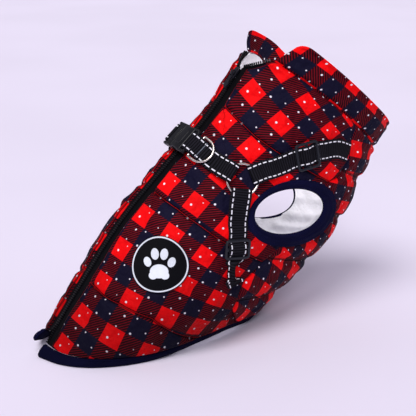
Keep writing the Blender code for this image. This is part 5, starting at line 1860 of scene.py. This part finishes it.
class COAT_OT_rings(CoatBuilder, bpy.types.Operator):
    """Junction rings, the D-ring and the flat keeper beside it"""
    bl_idname = "coat.rings"
    bl_label = "Rings"

    def execute(self, context):
        for word, side in SIDES:
            fitted(mesh_object(f"strap_ring_{word}", *junction_ring_parts(side), 60),
                   "plated_wire", f"junction_ring_{word}")
        back, _, _, end = routes(1)
        fitted(mesh_object("leash_d", *d_ring_parts(back, end), 60), "plated_wire",
               "d_ring", "leash_ring")
        fitted(mesh_object("strap_keeper", *keeper_parts(back, end), 40),
               "keeper_plastic")
        return {"FINISHED"}


class COAT_OT_buckle(CoatBuilder, bpy.types.Operator):
    """Side-release buckle: housing and tongue"""
    bl_idname = "coat.buckle"
    bl_label = "Buckle"

    def execute(self, context):
        for name, parts, solid in (("buckle_box", housing_parts(), "buckle_housing"),
                                   ("buckle_arms", tongue_parts(), "buckle_tongue")):
            fitted(mesh_object(name, *parts, 40), "buckle_plastic", solid)
        return {"FINISHED"}


class COAT_OT_badge(CoatBuilder, bpy.types.Operator):
    """Round sewn badge with a paw print"""
    bl_idname = "coat.badge"
    bl_label = "Badge"

    def execute(self, context):
        grids = badge_grids()
        made = shell("round_badge", *grids)
        fitted(made, "badge_stitching", "badge_near")
        cut_sheet(made, grids, "back_cloth_near", held="laid")
        return {"FINISHED"}


# the stage: half the floor's size and its cells in metres, the camera's target, and the lights
FLOOR_HALF, FLOOR_CELLS = 12, 12
TARGET = Vector((-0.0254, 0, 0.135))
# name, direction that it comes from, width in degrees, power, colour
SUNS = (("window_light", (-0.9, -0.75, 1.9), 32, 2.25, (255, 252, 252)),
        ("camera_side_light", (-0.4, -0.9, 0.75), 14, 0.85, (250, 248, 255)),
        ("top_light", (0.5, 0.6, 1.5), 50, 0.4, (246, 244, 255)))
# light that comes back from the white lining, for the openings: place and power
LINING_LIGHTS = (((0.06, 0, 0.165), 0.075), ((0.15, 0, 0.235), 0.1))


class COAT_OT_stage(CoatBuilder, bpy.types.Operator):
    """Pale floor, soft lights and the camera"""
    bl_idname = "coat.stage"
    bl_label = "Stage"

    def execute(self, context):
        scene = context.scene
        stage = scene.coat_stage
        side = np.linspace(-FLOOR_HALF, FLOOR_HALF, FLOOR_CELLS + 1)
        x, y = np.meshgrid(side, side, indexing="ij")
        r4, c4 = cell_corners(np.ones((FLOOR_CELLS, FLOOR_CELLS)))
        mesh = bpy.data.meshes.new("floor")
        mesh.from_pydata(np.stack([x, y, 0 * x], -1).reshape(-1, 3).tolist(), [],
                         (r4 * (FLOOR_CELLS + 1) + c4).tolist())
        floor = linked("floor", mesh)
        mesh.materials.append(floor_finish("floor_paper", rgb(stage.floor)))

        scene.world = bpy.data.worlds.new("soft_room")
        scene.world.use_nodes = True
        sky = scene.world.node_tree.nodes["Background"].inputs
        sky["Color"].default_value = linear((234, 230, 246))
        sky["Strength"].default_value = 0.27 * stage.light
        for name, toward, spread, power, colour in SUNS:
            data = bpy.data.lights.new(name, "SUN")
            data.angle, data.color = math.radians(spread), linear(colour)[:3]
            data.energy = power * stage.light
            linked(name, data).rotation_euler = Vector(toward).to_track_quat("Z", "Y").to_euler()
        for place, power in LINING_LIGHTS:
            data = bpy.data.lights.new("lining_light", "POINT")
            data.energy, data.shadow_soft_size = power * stage.light, 0.02
            light = linked("lining_light", data)
            light.location, light.visible_camera = place, False

        data = bpy.data.cameras.new("camera")
        data.lens, data.sensor_width, data.clip_end = 86.5, 36, 60
        data.shift_x, data.shift_y = 0.0242, -0.0212
        scene.camera = linked("camera", data)
        level = math.cos(stage.elevation)
        back = Vector((math.sin(stage.azimuth) * level, -math.cos(stage.azimuth) * level,
                       math.sin(stage.elevation)))
        scene.camera.location = TARGET + back * stage.distance
        scene.camera.rotation_euler = (-back).to_track_quat("-Z", "Y").to_euler()
        scene.view_settings.view_transform = "Standard"
        return {"FINISHED"}


STEPS = (COAT_OT_back_panels, COAT_OT_belly_panel, COAT_OT_linings, COAT_OT_collar, COAT_OT_edgings,
         COAT_OT_zip, COAT_OT_straps, COAT_OT_slides, COAT_OT_rings, COAT_OT_buckle, COAT_OT_badge,
         COAT_OT_stage)


class COAT_PT_panel(bpy.types.Panel):
    """Lists the coat's pieces and its settings"""
    bl_label = "Dog coat"
    bl_idname = "COAT_PT_panel"
    bl_space_type = "VIEW_3D"
    bl_region_type = "UI"
    bl_category = "Dog coat"

    def draw(self, context):
        for key in SETTINGS:
            box = self.layout.box()
            settings = getattr(context.scene, key)
            for name in settings.__annotations__:
                box.prop(settings, name)
        for step in STEPS:
            self.layout.operator(step.bl_idname)


SETTINGS = {"coat_cloth": CoatClothSettings, "coat_harness": CoatHarnessSettings,
            "coat_stage": CoatStageSettings}
CLASSES = (*SETTINGS.values(), *STEPS, COAT_PT_panel)


def register():
    for item in CLASSES:
        bpy.utils.register_class(item)
    for key, kind in SETTINGS.items():
        setattr(bpy.types.Scene, key, bpy.props.PointerProperty(type=kind))


def unregister():
    for key in SETTINGS:
        delattr(bpy.types.Scene, key)
    for item in reversed(CLASSES):
        bpy.utils.unregister_class(item)


def main():
    register()
    for step in STEPS:
        family, name = step.bl_idname.split(".")
        getattr(getattr(bpy.ops, family), name)()


if __name__ == "__main__":
    main()
